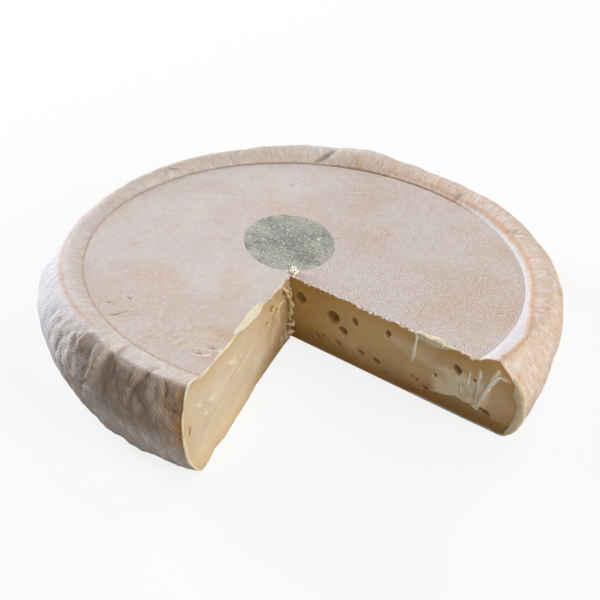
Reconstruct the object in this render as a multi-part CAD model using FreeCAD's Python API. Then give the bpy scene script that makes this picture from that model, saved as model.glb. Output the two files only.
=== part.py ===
import FreeCAD, Part
import math
import os
from collections import namedtuple

# A flat washed-rind cheese wheel with one wedge cut out of it. Millimetres, +Z up.
# The origin is on the wheel's axis at the base. Azimuth 0 is +X, the way the first
# cut face runs, and azimuths grow anticlockwise as seen from above.

# ---- the pressed round: the flat top inside the crease that the mould lid left ----
PRESS_RADIUS = 57.5     # radius of the pressed round
CORE_HEIGHT = 19.3      # height of the pressed round at the wheel's axis
TOP_SLOPE = 0.0917      # rise of the pressed round for each millimetre of travel
THICK_AZIMUTH = -94.1   # the side to which the pressed round rises
CREASE_WIDTH = 1.2      # width of the crease round the pressed round

# ---- the wedge that is gone ----
CUT_X = 2.8             # where the two knife cuts meet
CUT_Y = -10.4
RIGHT_CUT = 0.0         # azimuth of the first cut face
CUT_ANGLE = 76.9        # opening of the wedge, clockwise from the first cut face

# ---- the casein mark, pressed into the top ----
DISC_X = -7.9
DISC_Y = 3.4
DISC_LENGTH = 32.6
DISC_WIDTH = 27.0
DISC_AZIMUTH = 131.0    # direction of its long axis
DISC_THICKNESS = 0.8
DISC_CLEARANCE = 0.1    # gap between its rim and the wall of its recess

# ---- the heel: the rind from the crease over the bead and belly down to the foot ----
# Stations round the wheel, with smooth blends between them. Radii are measured out
# from the pressed round, so that the heel follows its size. belly_level is the share
# of the crest's height at which the belly stands out most, and the last two values are
# how full the shoulder above it and the underside below it are: 2 is an ellipse.
Station = namedtuple(
    "Station",
    "azimuth crease_depth bead_rise crest_out belly_out belly_level foot_out"
    " shoulder tuck",
)
STATIONS = [
    Station(-77.0, 0.15, 1.3, 5.8, 9.8, 0.62, 4.8, 1.55, 2.2),
    Station(-8.0, 0.35, 1.9, 5.3, 13.4, 0.47, 9.0, 1.35, 2.5),
    Station(14.0, 0.40, 2.0, 5.8, 11.5, 0.52, 7.2, 1.70, 2.1),
    Station(38.0, 0.40, 2.6, 6.4, 11.3, 0.48, 7.0, 1.90, 1.9),
    Station(60.0, 0.50, 3.0, 6.2, 11.3, 0.52, 6.7, 1.80, 1.8),
    Station(85.0, 0.80, 2.7, 6.3, 11.3, 0.48, 6.4, 1.70, 1.9),
    Station(108.0, 1.00, 3.9, 6.9, 12.2, 0.54, 6.0, 2.00, 1.9),
    Station(127.0, 1.00, 3.2, 6.7, 12.1, 0.53, 6.0, 2.05, 1.9),
    Station(148.0, 0.80, 2.4, 6.1, 11.8, 0.49, 6.2, 1.80, 1.9),
    Station(172.0, 0.50, 2.1, 5.5, 11.8, 0.45, 6.5, 1.60, 1.9),
    Station(198.0, 0.40, 0.8, 4.8, 12.6, 0.45, 6.8, 1.65, 1.9),
    Station(222.0, 0.35, 0.9, 5.0, 13.6, 0.51, 6.9, 1.65, 1.9),
    Station(246.0, 0.30, 1.5, 5.5, 12.3, 0.61, 6.8, 1.65, 1.8),
    Station(266.0, 0.25, 1.5, 5.9, 11.3, 0.58, 6.4, 1.60, 2.0),
]
# Profile of the crease and of the bead that rises from it: shares of the way across,
# and of the depth or of the rise that is reached there.
CREASE_PROFILE = [(0.33, 1.0), (0.67, 0.5)]
BEAD_PROFILE = [(0.0, 0.3), (0.3, 0.62), (0.65, 0.92)]
SHOULDER_STEPS = 7      # facets from the crest to the belly
TUCK_STEPS = 6          # and from the belly to the foot
PLAIN_STEP = 2.5        # degrees between sections where the rind is smooth
FOLDED_STEP = 1.0       # and where it is folded
FOLDED_FROM = 232.0
FOLDED_TO = 288.0

# ---- valleys where the rind is folded or pinched ----
# Each runs from one azimuth at the crest to another at the foot.
Fold = namedtuple("Fold", "crest_azimuth foot_azimuth depth half_width start end")
FOLDS = [
    Fold(124.0, 119.0, 1.3, 2.2, -0.10, 0.35),   # V-shaped pinch across the back bead
    Fold(166.0, 168.0, 0.7, 1.8, -0.10, 0.30),   # slit in the bead on the far left
    Fold(76.0, 70.0, 0.8, 2.5, -0.10, 0.30),     # dimple between two lumps
    Fold(28.0, 24.0, 0.6, 2.2, 0.15, 0.60),      # crease on the right heel
    Fold(262.8, 254.8, 1.3, 2.4, 0.05, 0.85),    # long fold from shoulder to foot
    Fold(274.2, 268.0, 0.9, 1.6, -0.10, 0.50),   # crease between two pillows of rind
    Fold(276.8, 291.8, 0.9, 1.6, 0.05, 0.50),    # split near the second cut
    Fold(254.6, 241.5, 0.7, 2.2, 0.05, 0.65),    # wrinkles fading away to the left
    Fold(243.5, 236.0, 0.5, 2.2, 0.05, 0.60),
    Fold(238.0, 230.0, 0.4, 2.2, 0.10, 0.55),
]

# ---- eyes that the knife laid open ----
# out: distance from where the cuts meet, as a share of the pressed round's radius;
# level: share of the pressed round's height there; the rest in millimetres.
Eye = namedtuple("Eye", "out level length tall depth")
RIGHT_EYES = [
    Eye(0.059, 0.71, 3.2, 3.4, 2.0),
    Eye(0.238, 0.64, 4.0, 3.9, 2.4),
    Eye(0.355, 0.72, 2.2, 2.9, 0.7),
    Eye(0.294, 0.49, 2.9, 2.6, 1.5),
    Eye(0.523, 0.76, 2.1, 2.4, 1.3),
    Eye(0.158, 0.22, 2.2, 1.5, 0.9),
    Eye(0.270, 0.25, 2.8, 1.4, 0.9),
    Eye(0.390, 0.28, 2.6, 1.7, 1.1),
    Eye(0.475, 0.26, 2.6, 1.6, 1.0),
    Eye(0.668, 0.28, 2.4, 1.4, 0.9),
    Eye(0.727, 0.15, 3.0, 1.3, 0.8),
    Eye(0.861, 0.69, 3.0, 3.6, 1.6),
    Eye(0.932, 0.63, 1.8, 1.8, 0.9),
    Eye(1.014, 0.25, 4.6, 2.1, 1.6),
]
LEFT_EYES = [
    Eye(0.073, 0.82, 2.2, 2.6, 1.2),
    Eye(0.195, 0.82, 2.4, 2.6, 0.8),
    Eye(0.035, 0.18, 2.2, 2.4, 1.0),
    Eye(0.930, 0.56, 1.6, 3.4, 0.6),
]

# ---- the ledge: the smooth strip under the torn part of the first cut face ----
# Its upper edge, as the same two shares.
LEDGE_LINE = [(0.68, 0.12), (0.79, 0.21), (0.88, 0.28), (0.96, 0.22), (1.06, 0.16)]
LEDGE_DEPTH = 0.5

# ---- helpers' own sizes ----
EYE_SIDES = 14          # facets round an eye
EYE_RINGS = 4           # facets from its rim to its bottom
EYE_COLLAR = 1.0        # its cutting tool stands this far out of the cut face
KNIFE_REACH = 3.0       # cutting tools are this many press radii long
OVERSHOOT = 5.0         # cutting tools pass the skin by this much


def direction(azimuth):
    """Unit vector along an azimuth in degrees."""
    angle = math.radians(azimuth)
    return FreeCAD.Vector(math.cos(angle), math.sin(angle), 0)


def top_height(x, y):
    """Height of the pressed round's plane over the point x, y."""
    uphill = direction(THICK_AZIMUTH)
    return CORE_HEIGHT + TOP_SLOPE * (x * uphill.x + y * uphill.y)


def top_normal():
    """Upward normal of the pressed round."""
    uphill = direction(THICK_AZIMUTH)
    normal = FreeCAD.Vector(-TOP_SLOPE * uphill.x, -TOP_SLOPE * uphill.y, 1)
    normal.normalize()
    return normal


def station_at(azimuth):
    """The heel's sizes at any azimuth, eased from one station to the next."""
    first = STATIONS[0].azimuth
    turned = (azimuth - first) % 360 + first
    for low, high in zip(STATIONS, STATIONS[1:] + STATIONS[:1]):
        end = high.azimuth if high.azimuth > low.azimuth else high.azimuth + 360
        if low.azimuth <= turned < end:
            share = (turned - low.azimuth) / (end - low.azimuth)
            ease = share * share * (3 - 2 * share)
            return Station(*[a + ease * (b - a) for a, b in zip(low, high)])
    return STATIONS[0]


def fold_depth(azimuth, level, radius):
    """How far the folds push the rind in, at a level from 0 (crest) to 1 (foot)."""
    total = 0.0
    for fold in FOLDS:
        middle = fold.crest_azimuth + level * (fold.foot_azimuth - fold.crest_azimuth)
        turn = (azimuth - middle + 180) % 360 - 180
        across = math.radians(turn) * radius / fold.half_width
        along = (level - fold.start) / (fold.end - fold.start)
        if 0 < along < 1:
            total += fold.depth * math.exp(-across * across) * math.sin(math.pi * along)
    return total


def heel_section(azimuth):
    """Points of the rind from the pressed round to the foot, in one upright plane."""
    at = station_at(azimuth)
    out = direction(azimuth)
    crest_r = PRESS_RADIUS + at.crest_out
    belly_r = PRESS_RADIUS + at.belly_out
    foot_r = PRESS_RADIUS + at.foot_out
    wall_r = PRESS_RADIUS + CREASE_WIDTH

    def plane(radius):
        return top_height(out.x * radius, out.y * radius)

    crest_z = plane(crest_r) + at.bead_rise
    belly_z = crest_z * at.belly_level

    section = [(PRESS_RADIUS, plane(PRESS_RADIUS))]
    for across, share in CREASE_PROFILE:
        radius = PRESS_RADIUS + across * CREASE_WIDTH
        section.append((radius, plane(radius) - share * at.crease_depth))
    for across, share in BEAD_PROFILE:
        radius = wall_r + across * (crest_r - wall_r)
        section.append((radius, plane(radius) + share * at.bead_rise))

    points = [
        FreeCAD.Vector(out.x * radius, out.y * radius, height)
        for radius, height in section
    ]
    steps = SHOULDER_STEPS + TUCK_STEPS
    for i in range(steps + 1):
        if i <= SHOULDER_STEPS:
            turn = math.pi / 2 * i / SHOULDER_STEPS
            power = 2 / at.shoulder
            radius = crest_r + (belly_r - crest_r) * math.sin(turn) ** power
            height = belly_z + (crest_z - belly_z) * max(math.cos(turn), 0) ** power
        else:
            turn = math.pi / 2 * (i - SHOULDER_STEPS) / TUCK_STEPS
            power = 2 / at.tuck
            radius = foot_r + (belly_r - foot_r) * max(math.cos(turn), 0) ** power
            height = belly_z * (1 - math.sin(turn) ** power)
        level = i / steps
        radius -= fold_depth(azimuth, level, radius)
        points.append(FreeCAD.Vector(out.x * radius, out.y * radius, height))
    return points


def section_azimuths():
    """Azimuths of the sections, once round the wheel, closer together at the folds."""
    azimuths = []
    azimuth = 0.0
    while azimuth < 360.0 - FOLDED_STEP / 2:
        azimuths.append(azimuth)
        folded = FOLDED_FROM <= azimuth < FOLDED_TO
        azimuth += FOLDED_STEP if folded else PLAIN_STEP
    return azimuths


def flat_face(corners):
    """A flat face with these corners."""
    return Part.Face(Part.makePolygon(corners + corners[:1]))


def whole_wheel():
    """The uncut wheel: facets between the sections, the pressed round and the base."""
    net = [heel_section(azimuth) for azimuth in section_azimuths()]
    faces = [
        flat_face([points[0] for points in net]),
        flat_face([points[-1] for points in net]),
    ]
    for near, far in zip(net, net[1:] + net[:1]):
        for i in range(len(near) - 1):
            faces.append(flat_face([near[i], near[i + 1], far[i + 1]]))
            faces.append(flat_face([near[i], far[i + 1], far[i]]))
    return Part.Solid(Part.Shell(faces))


def missing_wedge():
    """The prism between the two knife cuts."""
    reach = KNIFE_REACH * PRESS_RADIUS
    corner = FreeCAD.Vector(CUT_X, CUT_Y, -OVERSHOOT)
    ends = [
        corner + direction(azimuth) * reach
        for azimuth in (RIGHT_CUT, RIGHT_CUT - CUT_ANGLE / 2, RIGHT_CUT - CUT_ANGLE)
    ]
    outline = Part.makePolygon([corner] + ends + [corner])
    height = 2 * CORE_HEIGHT + 2 * OVERSHOOT
    return Part.Face(outline).extrude(FreeCAD.Vector(0, 0, height))


def disc_oval(clearance):
    """The oval mark, its top flush with the pressed round, grown by a clearance."""
    normal = top_normal()
    centre = FreeCAD.Vector(DISC_X, DISC_Y, top_height(DISC_X, DISC_Y))
    flat_along = direction(DISC_AZIMUTH)
    along = flat_along - normal * flat_along.dot(normal)
    along.normalize()
    side = normal.cross(along)
    half_length = DISC_LENGTH / 2 + clearance
    half_width = DISC_WIDTH / 2 + clearance
    oval = Part.Ellipse(
        centre + along * half_length, centre + side * half_width, centre
    )
    face = Part.Face(Part.Wire([oval.toShape()]))
    return face.extrude(normal * -DISC_THICKNESS)


def casein_disc():
    """The mark, trimmed by the knife where the cuts reach it."""
    return disc_oval(0.0).cut(missing_wedge()).Solids[0]


def disc_recess():
    """The hollow for the mark, open at the top."""
    hollow = disc_oval(DISC_CLEARANCE)
    above = hollow.copy()
    above.translate(top_normal() * DISC_THICKNESS)
    return hollow.fuse(above).removeSplitter()


def on_cut_face(azimuth, out, level):
    """Point on the cut face along an azimuth, at two shares of the wheel's sizes."""
    place = FreeCAD.Vector(CUT_X, CUT_Y, 0) + direction(azimuth) * out * PRESS_RADIUS
    place.z = level * top_height(place.x, place.y)
    return place


def eye_pocket(eye, azimuth, outward):
    """An egg-shaped hollow in a cut face, faceted, with a straight collar outside it."""
    along = direction(azimuth)
    up = FreeCAD.Vector(0, 0, 1)
    centre = on_cut_face(azimuth, eye.out, eye.level)

    def ring(turn, lift):
        spread = math.cos(turn)
        points = []
        for i in range(EYE_SIDES):
            angle = 2 * math.pi * i / EYE_SIDES
            points.append(
                centre
                + along * (spread * math.cos(angle) * eye.length / 2)
                + up * (spread * math.sin(angle) * eye.tall / 2)
                + outward * (lift - eye.depth * math.sin(turn))
            )
        return points

    rings = [ring(0.0, EYE_COLLAR)]
    rings += [ring(math.pi / 2 * i / EYE_RINGS, 0.0) for i in range(EYE_RINGS)]
    tip = centre - outward * eye.depth
    faces = [flat_face(rings[0])]
    for i in range(EYE_SIDES):
        j = (i + 1) % EYE_SIDES
        for near, far in zip(rings, rings[1:]):
            faces.append(flat_face([near[i], near[j], far[j], far[i]]))
        faces.append(flat_face([rings[-1][i], rings[-1][j], tip]))
    return Part.Solid(Part.Shell(faces))


def ledge_cut():
    """The shallow step along the foot of the first cut face."""
    outside = direction(RIGHT_CUT - 90.0)
    line = [
        on_cut_face(RIGHT_CUT, out, level) + outside * OVERSHOOT
        for out, level in LEDGE_LINE
    ]
    below = [FreeCAD.Vector(line[i].x, line[i].y, -OVERSHOOT) for i in (-1, 0)]
    return flat_face(line + below).extrude(outside * -(OVERSHOOT + LEDGE_DEPTH))


def cheese():
    """The cut wheel with its recess, eyes and ledge."""
    left_cut = RIGHT_CUT - CUT_ANGLE
    hollows = [missing_wedge(), disc_recess(), ledge_cut()]
    hollows += [
        eye_pocket(eye, RIGHT_CUT, direction(RIGHT_CUT - 90.0)) for eye in RIGHT_EYES
    ]
    hollows += [
        eye_pocket(eye, left_cut, direction(left_cut + 90.0)) for eye in LEFT_EYES
    ]
    body = whole_wheel()
    for hollow in hollows:
        body = body.cut(hollow)
    return body.Solids[0]


def main():
    os.makedirs("parts", exist_ok=True)
    nodes = {"cheese": cheese(), "casein_disc": casein_disc()}
    for name, shape in nodes.items():
        shape.exportStep("parts/" + name + ".step")
        box = shape.BoundBox
        print(name, "valid", shape.isValid(), "solids", len(shape.Solids))
        print("  box %.2f..%.2f %.2f..%.2f %.2f..%.2f" % (
            box.XMin, box.XMax, box.YMin, box.YMax, box.ZMin, box.ZMax))
        print("  volume %.0f mm3" % shape.Volume)


main()
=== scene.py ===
"""A cut washed-rind cheese wheel: cloth-marked rind, soft paste and a casein mark.

Lengths inside the classes are in millimetres, azimuths in degrees from +X, and the
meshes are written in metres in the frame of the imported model.
"""

import itertools
import logging
import math
from collections.abc import Callable, Iterable, Sequence
from dataclasses import astuple, dataclass, field
from enum import Enum

import bpy
import bmesh
import numpy as np
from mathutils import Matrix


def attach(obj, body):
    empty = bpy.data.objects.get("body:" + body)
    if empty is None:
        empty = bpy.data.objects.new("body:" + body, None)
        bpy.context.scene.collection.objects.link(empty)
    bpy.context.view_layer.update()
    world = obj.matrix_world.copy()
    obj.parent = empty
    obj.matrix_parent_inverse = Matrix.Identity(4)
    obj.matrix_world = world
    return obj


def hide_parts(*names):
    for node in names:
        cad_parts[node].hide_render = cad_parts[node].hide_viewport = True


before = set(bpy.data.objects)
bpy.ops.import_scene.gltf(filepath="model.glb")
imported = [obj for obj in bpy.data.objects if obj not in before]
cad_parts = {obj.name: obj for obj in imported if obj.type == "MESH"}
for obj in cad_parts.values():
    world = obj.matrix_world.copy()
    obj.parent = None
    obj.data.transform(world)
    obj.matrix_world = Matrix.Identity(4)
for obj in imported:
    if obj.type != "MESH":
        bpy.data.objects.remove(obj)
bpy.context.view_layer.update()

logging.basicConfig(level=logging.INFO, format="%(name)s: %(message)s")
log = logging.getLogger("cheese")

MM = 0.001
# Radius in millimetres at which the heel's azimuths are laid out as lengths.
ARC_RADIUS = 66.0
# Edges of loose paste and shreds that are sharper than this many degrees stay sharp.
SOFT_EDGE = 80.0

Array = np.ndarray
Colour = tuple[float, float, float, float]
Triple = tuple[float, float, float]
Material = bpy.types.Material
Piece = bpy.types.Object
Socket = bpy.types.NodeSocket
Tree = bpy.types.NodeTree


# ---------------------------------------------------------------- small helpers

def linear(code: str) -> Colour:
    """Turns an sRGB hex colour into linear red, green, blue and alpha.

    Args:
        code: six hex digits.

    Returns:
        Four floats for a colour socket.
    """
    parts = [int(code[i:i + 2], 16) / 255 for i in (0, 2, 4)]
    curve = [c / 12.92 if c <= 0.04045 else ((c + 0.055) / 1.055) ** 2.4 for c in parts]
    return (*curve, 1.0)


def ease(value: Array, low: float, high: float) -> Array:
    """Smooth step: 3q^2 - 2q^3, where q runs from 0 at low to 1 at high."""
    q = np.clip((value - low) / (high - low), 0.0, 1.0)
    return q * q * (3 - 2 * q)


def between(value: Array, rise: tuple[float, float], fall: tuple[float, float]) -> Array:
    """Smooth step up over the pair rise, and down again over the pair fall."""
    return ease(value, *rise) * (1 - ease(value, *fall))


def bell(value: Array, width: float) -> Array:
    """Bell curve exp(-(value / width)^2)."""
    return np.exp(-(value / width) ** 2)


def way_of(azimuth: float) -> Array:
    """Level unit vector at an azimuth in degrees."""
    turn = math.radians(azimuth)
    return np.array([math.cos(turn), math.sin(turn), 0.0])


def turned_back(u: Array, v: Array, degrees: float) -> tuple[Array, Array]:
    """Places along and across a direction: u cos + v sin, and v cos - u sin."""
    turn = math.radians(degrees)
    return (u * math.cos(turn) + v * math.sin(turn),
            v * math.cos(turn) - u * math.sin(turn))


class Lattice:
    """Smooth random field: random values on a repeating cubic lattice, eased between."""

    SIZE = 32

    def __init__(self, seed: int) -> None:
        """Fills the lattice with values from -1 to 1.

        Args:
            seed: number that fixes the values.
        """
        draw = np.random.default_rng(seed)
        self.table = draw.uniform(-1, 1, (self.SIZE,) * 3)

    def at(self, x: Array, y: Array, z: Array | float = 0.0) -> Array:
        """Trilinear blend of the eight corners, with weights 6q^5 - 15q^4 + 10q^3.

        Args:
            x, y, z: positions in lattice steps, of one shape.

        Returns:
            Values from -1 to 1.
        """
        x, y, z = np.broadcast_arrays(x, y, z)
        base = [np.floor(v).astype(int) for v in (x, y, z)]
        q = [v - b for v, b in zip((x, y, z), base)]
        q = [v ** 3 * (v * (6 * v - 15) + 10) for v in q]
        total = np.zeros(x.shape)
        for corner in range(8):
            bits = [(corner >> k) & 1 for k in range(3)]
            weight = np.ones(x.shape)
            for share, bit in zip(q, bits):
                weight = weight * (share if bit else 1 - share)
            index = tuple((b + bit) % self.SIZE for b, bit in zip(base, bits))
            total += weight * self.table[index]
        return total

    def layers(self, x: Array, y: Array, z: Array | float, size: float,
               count: int = 3, fade: float = 0.5) -> Array:
        """Sum of count fields, each of half the size and fade times the height.

        Args:
            x, y, z: positions in millimetres.
            size: millimetres between the lattice's points in the first field.
            count: how many fields.
            fade: height of each field as a share of the one before.

        Returns:
            Values of about -1 to 1.
        """
        total = np.zeros(np.broadcast(x, y, z).shape)
        for k in range(count):
            step = size / 2 ** k
            total += fade ** k * self.at(x / step + 7.3 * k, y / step, z / step)
        return total


def cells(u: Array, v: Array, size: float, seed: int) -> tuple[Array, Array, Array]:
    """Cell pattern: one random point a square; distances to the two nearest points.

    Args:
        u, v: positions in millimetres.
        size: millimetres across a square.
        seed: number that fixes the points.

    Returns:
        Nearest distance, second distance, and the nearest point's own random number.
    """
    squares = 64
    table = np.random.default_rng(seed).uniform(0, 1, (squares, squares, 3))
    iu, iv = np.floor(u / size).astype(int), np.floor(v / size).astype(int)
    first = np.full(u.shape, np.inf)
    second = np.full(u.shape, np.inf)
    own = np.zeros(u.shape)
    for du, dv in itertools.product((-1, 0, 1), repeat=2):
        cell = table[(iu + du) % squares, (iv + dv) % squares]
        reach = np.hypot(iu + du + cell[..., 0] - u / size,
                         iv + dv + cell[..., 1] - v / size)
        nearer = reach < first
        second = np.where(nearer, first, np.minimum(second, reach))
        own = np.where(nearer, cell[..., 2], own)
        first = np.minimum(first, reach)
    return first, second, own


def along_path(u: Array, v: Array, path: Sequence[tuple[float, float]]
               ) -> tuple[Array, Array, Array]:
    """Nearest point of a path of straight runs.

    Args:
        u, v: positions in millimetres.
        path: the path's corners.

    Returns:
        Distance, side (positive to the left of the way the path runs) and share of
        the path's length that is passed.
    """
    corners = np.array(path, float)
    lengths = np.hypot(*np.diff(corners, axis=0).T)
    total = lengths.sum()
    best = np.full(u.shape, np.inf)
    side = np.zeros(u.shape)
    share = np.zeros(u.shape)
    passed = 0.0
    for start, end, length in zip(corners[:-1], corners[1:], lengths):
        way = (end - start) / length
        du, dv = u - start[0], v - start[1]
        t = np.clip(du * way[0] + dv * way[1], 0, length)
        reach = np.hypot(du - t * way[0], dv - t * way[1])
        nearer = reach < best
        side = np.where(nearer, way[0] * dv - way[1] * du, side)
        share = np.where(nearer, (passed + t) / total, share)
        best = np.minimum(best, reach)
        passed += length
    return best, side, share


def whole(rows: Sequence, name: str) -> Array:
    """Whole numbers under one name, read from all rows of a mesh's table."""
    numbers = np.zeros(len(rows), np.int32)
    rows.foreach_get(name, numbers)
    return numbers


class Skin:
    """A mesh that grows from rows of points, with named numbers for each point."""

    def __init__(self, fields: Sequence[str]) -> None:
        """Starts empty.

        Args:
            fields: names of the numbers that every point carries.
        """
        self.fields = list(fields)
        self.points: list[Array] = []
        self.values: dict[str, list[Array]] = {name: [] for name in fields}
        self.quads: list[Array] = []
        self.tris: list[Array] = []
        self.quad_marks: list[Array] = []
        self.tri_marks: list[Array] = []
        self.count = 0
        self.material = 0

    def add(self, points: Array, **values: Array | float) -> Array:
        """Adds points of any grid shape, with their numbers.

        Args:
            points: array (..., 3) in millimetres.
            values: numbers by field name; a field left out is 0.

        Returns:
            Index of each point, in the grid's shape.
        """
        shape = points.shape[:-1]
        amount = int(np.prod(shape))
        self.points.append(points.reshape(-1, 3))
        for name in self.fields:
            full = np.broadcast_to(values.get(name, 0.0), shape)
            self.values[name].append(full.reshape(-1))
        index = np.arange(self.count, self.count + amount).reshape(shape)
        self.count += amount
        return index

    def put(self, faces: Array) -> None:
        """Keeps faces of three or four corners, in the present material.

        Args:
            faces: array (..., 3) or (..., 4) of indices.
        """
        faces = faces.reshape(-1, faces.shape[-1])
        kept, marks = ((self.quads, self.quad_marks) if faces.shape[1] == 4
                       else (self.tris, self.tri_marks))
        kept.append(faces)
        marks.append(np.full(len(faces), self.material))

    def grid(self, index: Array) -> None:
        """Fills a grid of indices with quads."""
        self.put(np.stack([index[:-1, :-1], index[1:, :-1], index[1:, 1:],
                           index[:-1, 1:]], -1))

    def bridge(self, fine: Array, coarse: Array) -> None:
        """Joins two rows with quads, or with three triangles a space.

        Args:
            fine: indices of one row.
            coarse: indices of the other, with as many spaces or half as many.
        """
        if len(fine) == len(coarse):
            self.grid(np.stack([fine, coarse]))
            return
        a, b, c = fine[:-1:2], fine[1::2], fine[2::2]
        p, q = coarse[:-1], coarse[1:]
        for corners in ((a, p, b), (b, p, q), (b, q, c)):
            self.put(np.stack(corners, -1))

    def fan(self, row: Array, pole: int) -> None:
        """Closes a row to one point with triangles."""
        self.put(np.stack([row[:-1], np.full(len(row) - 1, pole), row[1:]], -1))

    def tube(self, index: Array, poles: Array) -> None:
        """Closes rings of points all round, and their first and last ring to a point.

        Args:
            index: indices (rings, points round).
            poles: indices of the two end points.
        """
        closed = np.hstack([index, index[:, :1]])
        self.grid(closed)
        self.fan(closed[0], poles[0])
        self.fan(closed[-1], poles[1])

    def build(self, name: str, materials: Sequence[Material],
              uv: Sequence[tuple[str, str]] = (), smooth_under: float = 50.0) -> Piece:
        """Writes the mesh, its numbers, its UV map and its materials to a new object.

        Args:
            name: the piece's name.
            materials: one material for each face mark.
            uv: for each material, the two fields in millimetres that are its UV.
            smooth_under: degrees between faces; sharper edges stay sharp.

        Returns:
            The object, at the origin.
        """
        points = np.concatenate(self.points) * MM
        values = {n: np.concatenate(v).astype("f4") for n, v in self.values.items()}
        faces = [row for block in (*self.quads, *self.tris) for row in block.tolist()]
        marks = np.concatenate([*self.quad_marks, *self.tri_marks])
        mesh = bpy.data.meshes.new(name)
        mesh.from_pydata(points, [], faces)
        mesh.polygons.foreach_set("material_index", marks.astype(np.int32))
        work = bmesh.new()
        work.from_mesh(mesh)
        bmesh.ops.recalc_face_normals(work, faces=work.faces)
        work.to_mesh(mesh)
        work.free()
        for label, numbers in values.items():
            mesh.attributes.new(label, "FLOAT", "POINT").data.foreach_set("value", numbers)
        if uv:
            point = whole(mesh.loops, "vertex_index")
            material_of = np.repeat(whole(mesh.polygons, "material_index"),
                                    whole(mesh.polygons, "loop_total"))
            spread = np.zeros((len(point), 2), "f4")
            for k, names in enumerate(uv):
                for axis, label in enumerate(names):
                    spread[:, axis] = np.where(material_of == k, values[label][point] * MM,
                                               spread[:, axis])
            mesh.uv_layers.new(name="Surface").data.foreach_set("uv", spread.ravel())
        mesh.polygons.foreach_set("use_smooth", np.ones(len(mesh.polygons), bool))
        mesh.set_sharp_from_angle(angle=math.radians(smooth_under))
        for material in materials:
            mesh.materials.append(material)
        mesh.update()
        piece = bpy.data.objects.new(name, mesh)
        bpy.context.scene.collection.objects.link(piece)
        return piece


# ---------------------------------------------------------------- the wheel's form

@dataclass(frozen=True)
class Station:
    """The heel's sizes at one azimuth, measured out from the pressed round."""

    azimuth: float
    crease_depth: float
    bead_rise: float
    crest_out: float
    belly_out: float
    belly_level: float
    foot_out: float
    shoulder: float
    tuck: float


STATIONS = (
    Station(-77.0, 0.15, 1.3, 5.8, 9.8, 0.62, 4.8, 1.55, 2.2),
    Station(-8.0, 0.35, 1.9, 5.3, 13.4, 0.47, 9.0, 1.35, 2.5),
    Station(14.0, 0.40, 2.0, 5.8, 11.5, 0.52, 7.2, 1.70, 2.1),
    Station(38.0, 0.40, 2.6, 6.4, 11.3, 0.48, 7.0, 1.90, 1.9),
    Station(60.0, 0.50, 3.0, 6.2, 11.3, 0.52, 6.7, 1.80, 1.8),
    Station(85.0, 0.80, 2.7, 6.3, 11.3, 0.48, 6.4, 1.70, 1.9),
    Station(108.0, 1.00, 3.9, 6.9, 12.2, 0.54, 6.0, 2.00, 1.9),
    Station(127.0, 1.00, 3.2, 6.7, 12.1, 0.53, 6.0, 2.05, 1.9),
    Station(148.0, 0.80, 2.4, 6.1, 11.8, 0.49, 6.2, 1.80, 1.9),
    Station(172.0, 0.50, 2.1, 5.5, 11.8, 0.45, 6.5, 1.60, 1.9),
    Station(198.0, 0.40, 0.8, 4.8, 12.6, 0.45, 6.8, 1.65, 1.9),
    Station(222.0, 0.35, 0.9, 5.0, 13.6, 0.51, 6.9, 1.65, 1.9),
    Station(246.0, 0.30, 1.5, 5.5, 12.3, 0.61, 6.8, 1.65, 1.8),
    Station(266.0, 0.25, 1.5, 5.9, 11.3, 0.58, 6.4, 1.60, 2.0),
)


class Band(Enum):
    """The bands of the heel's profile, in order, with the rows in each."""

    CREASE = 8
    BEAD = 12
    SHOULDER = 26
    TUCK = 22


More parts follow.
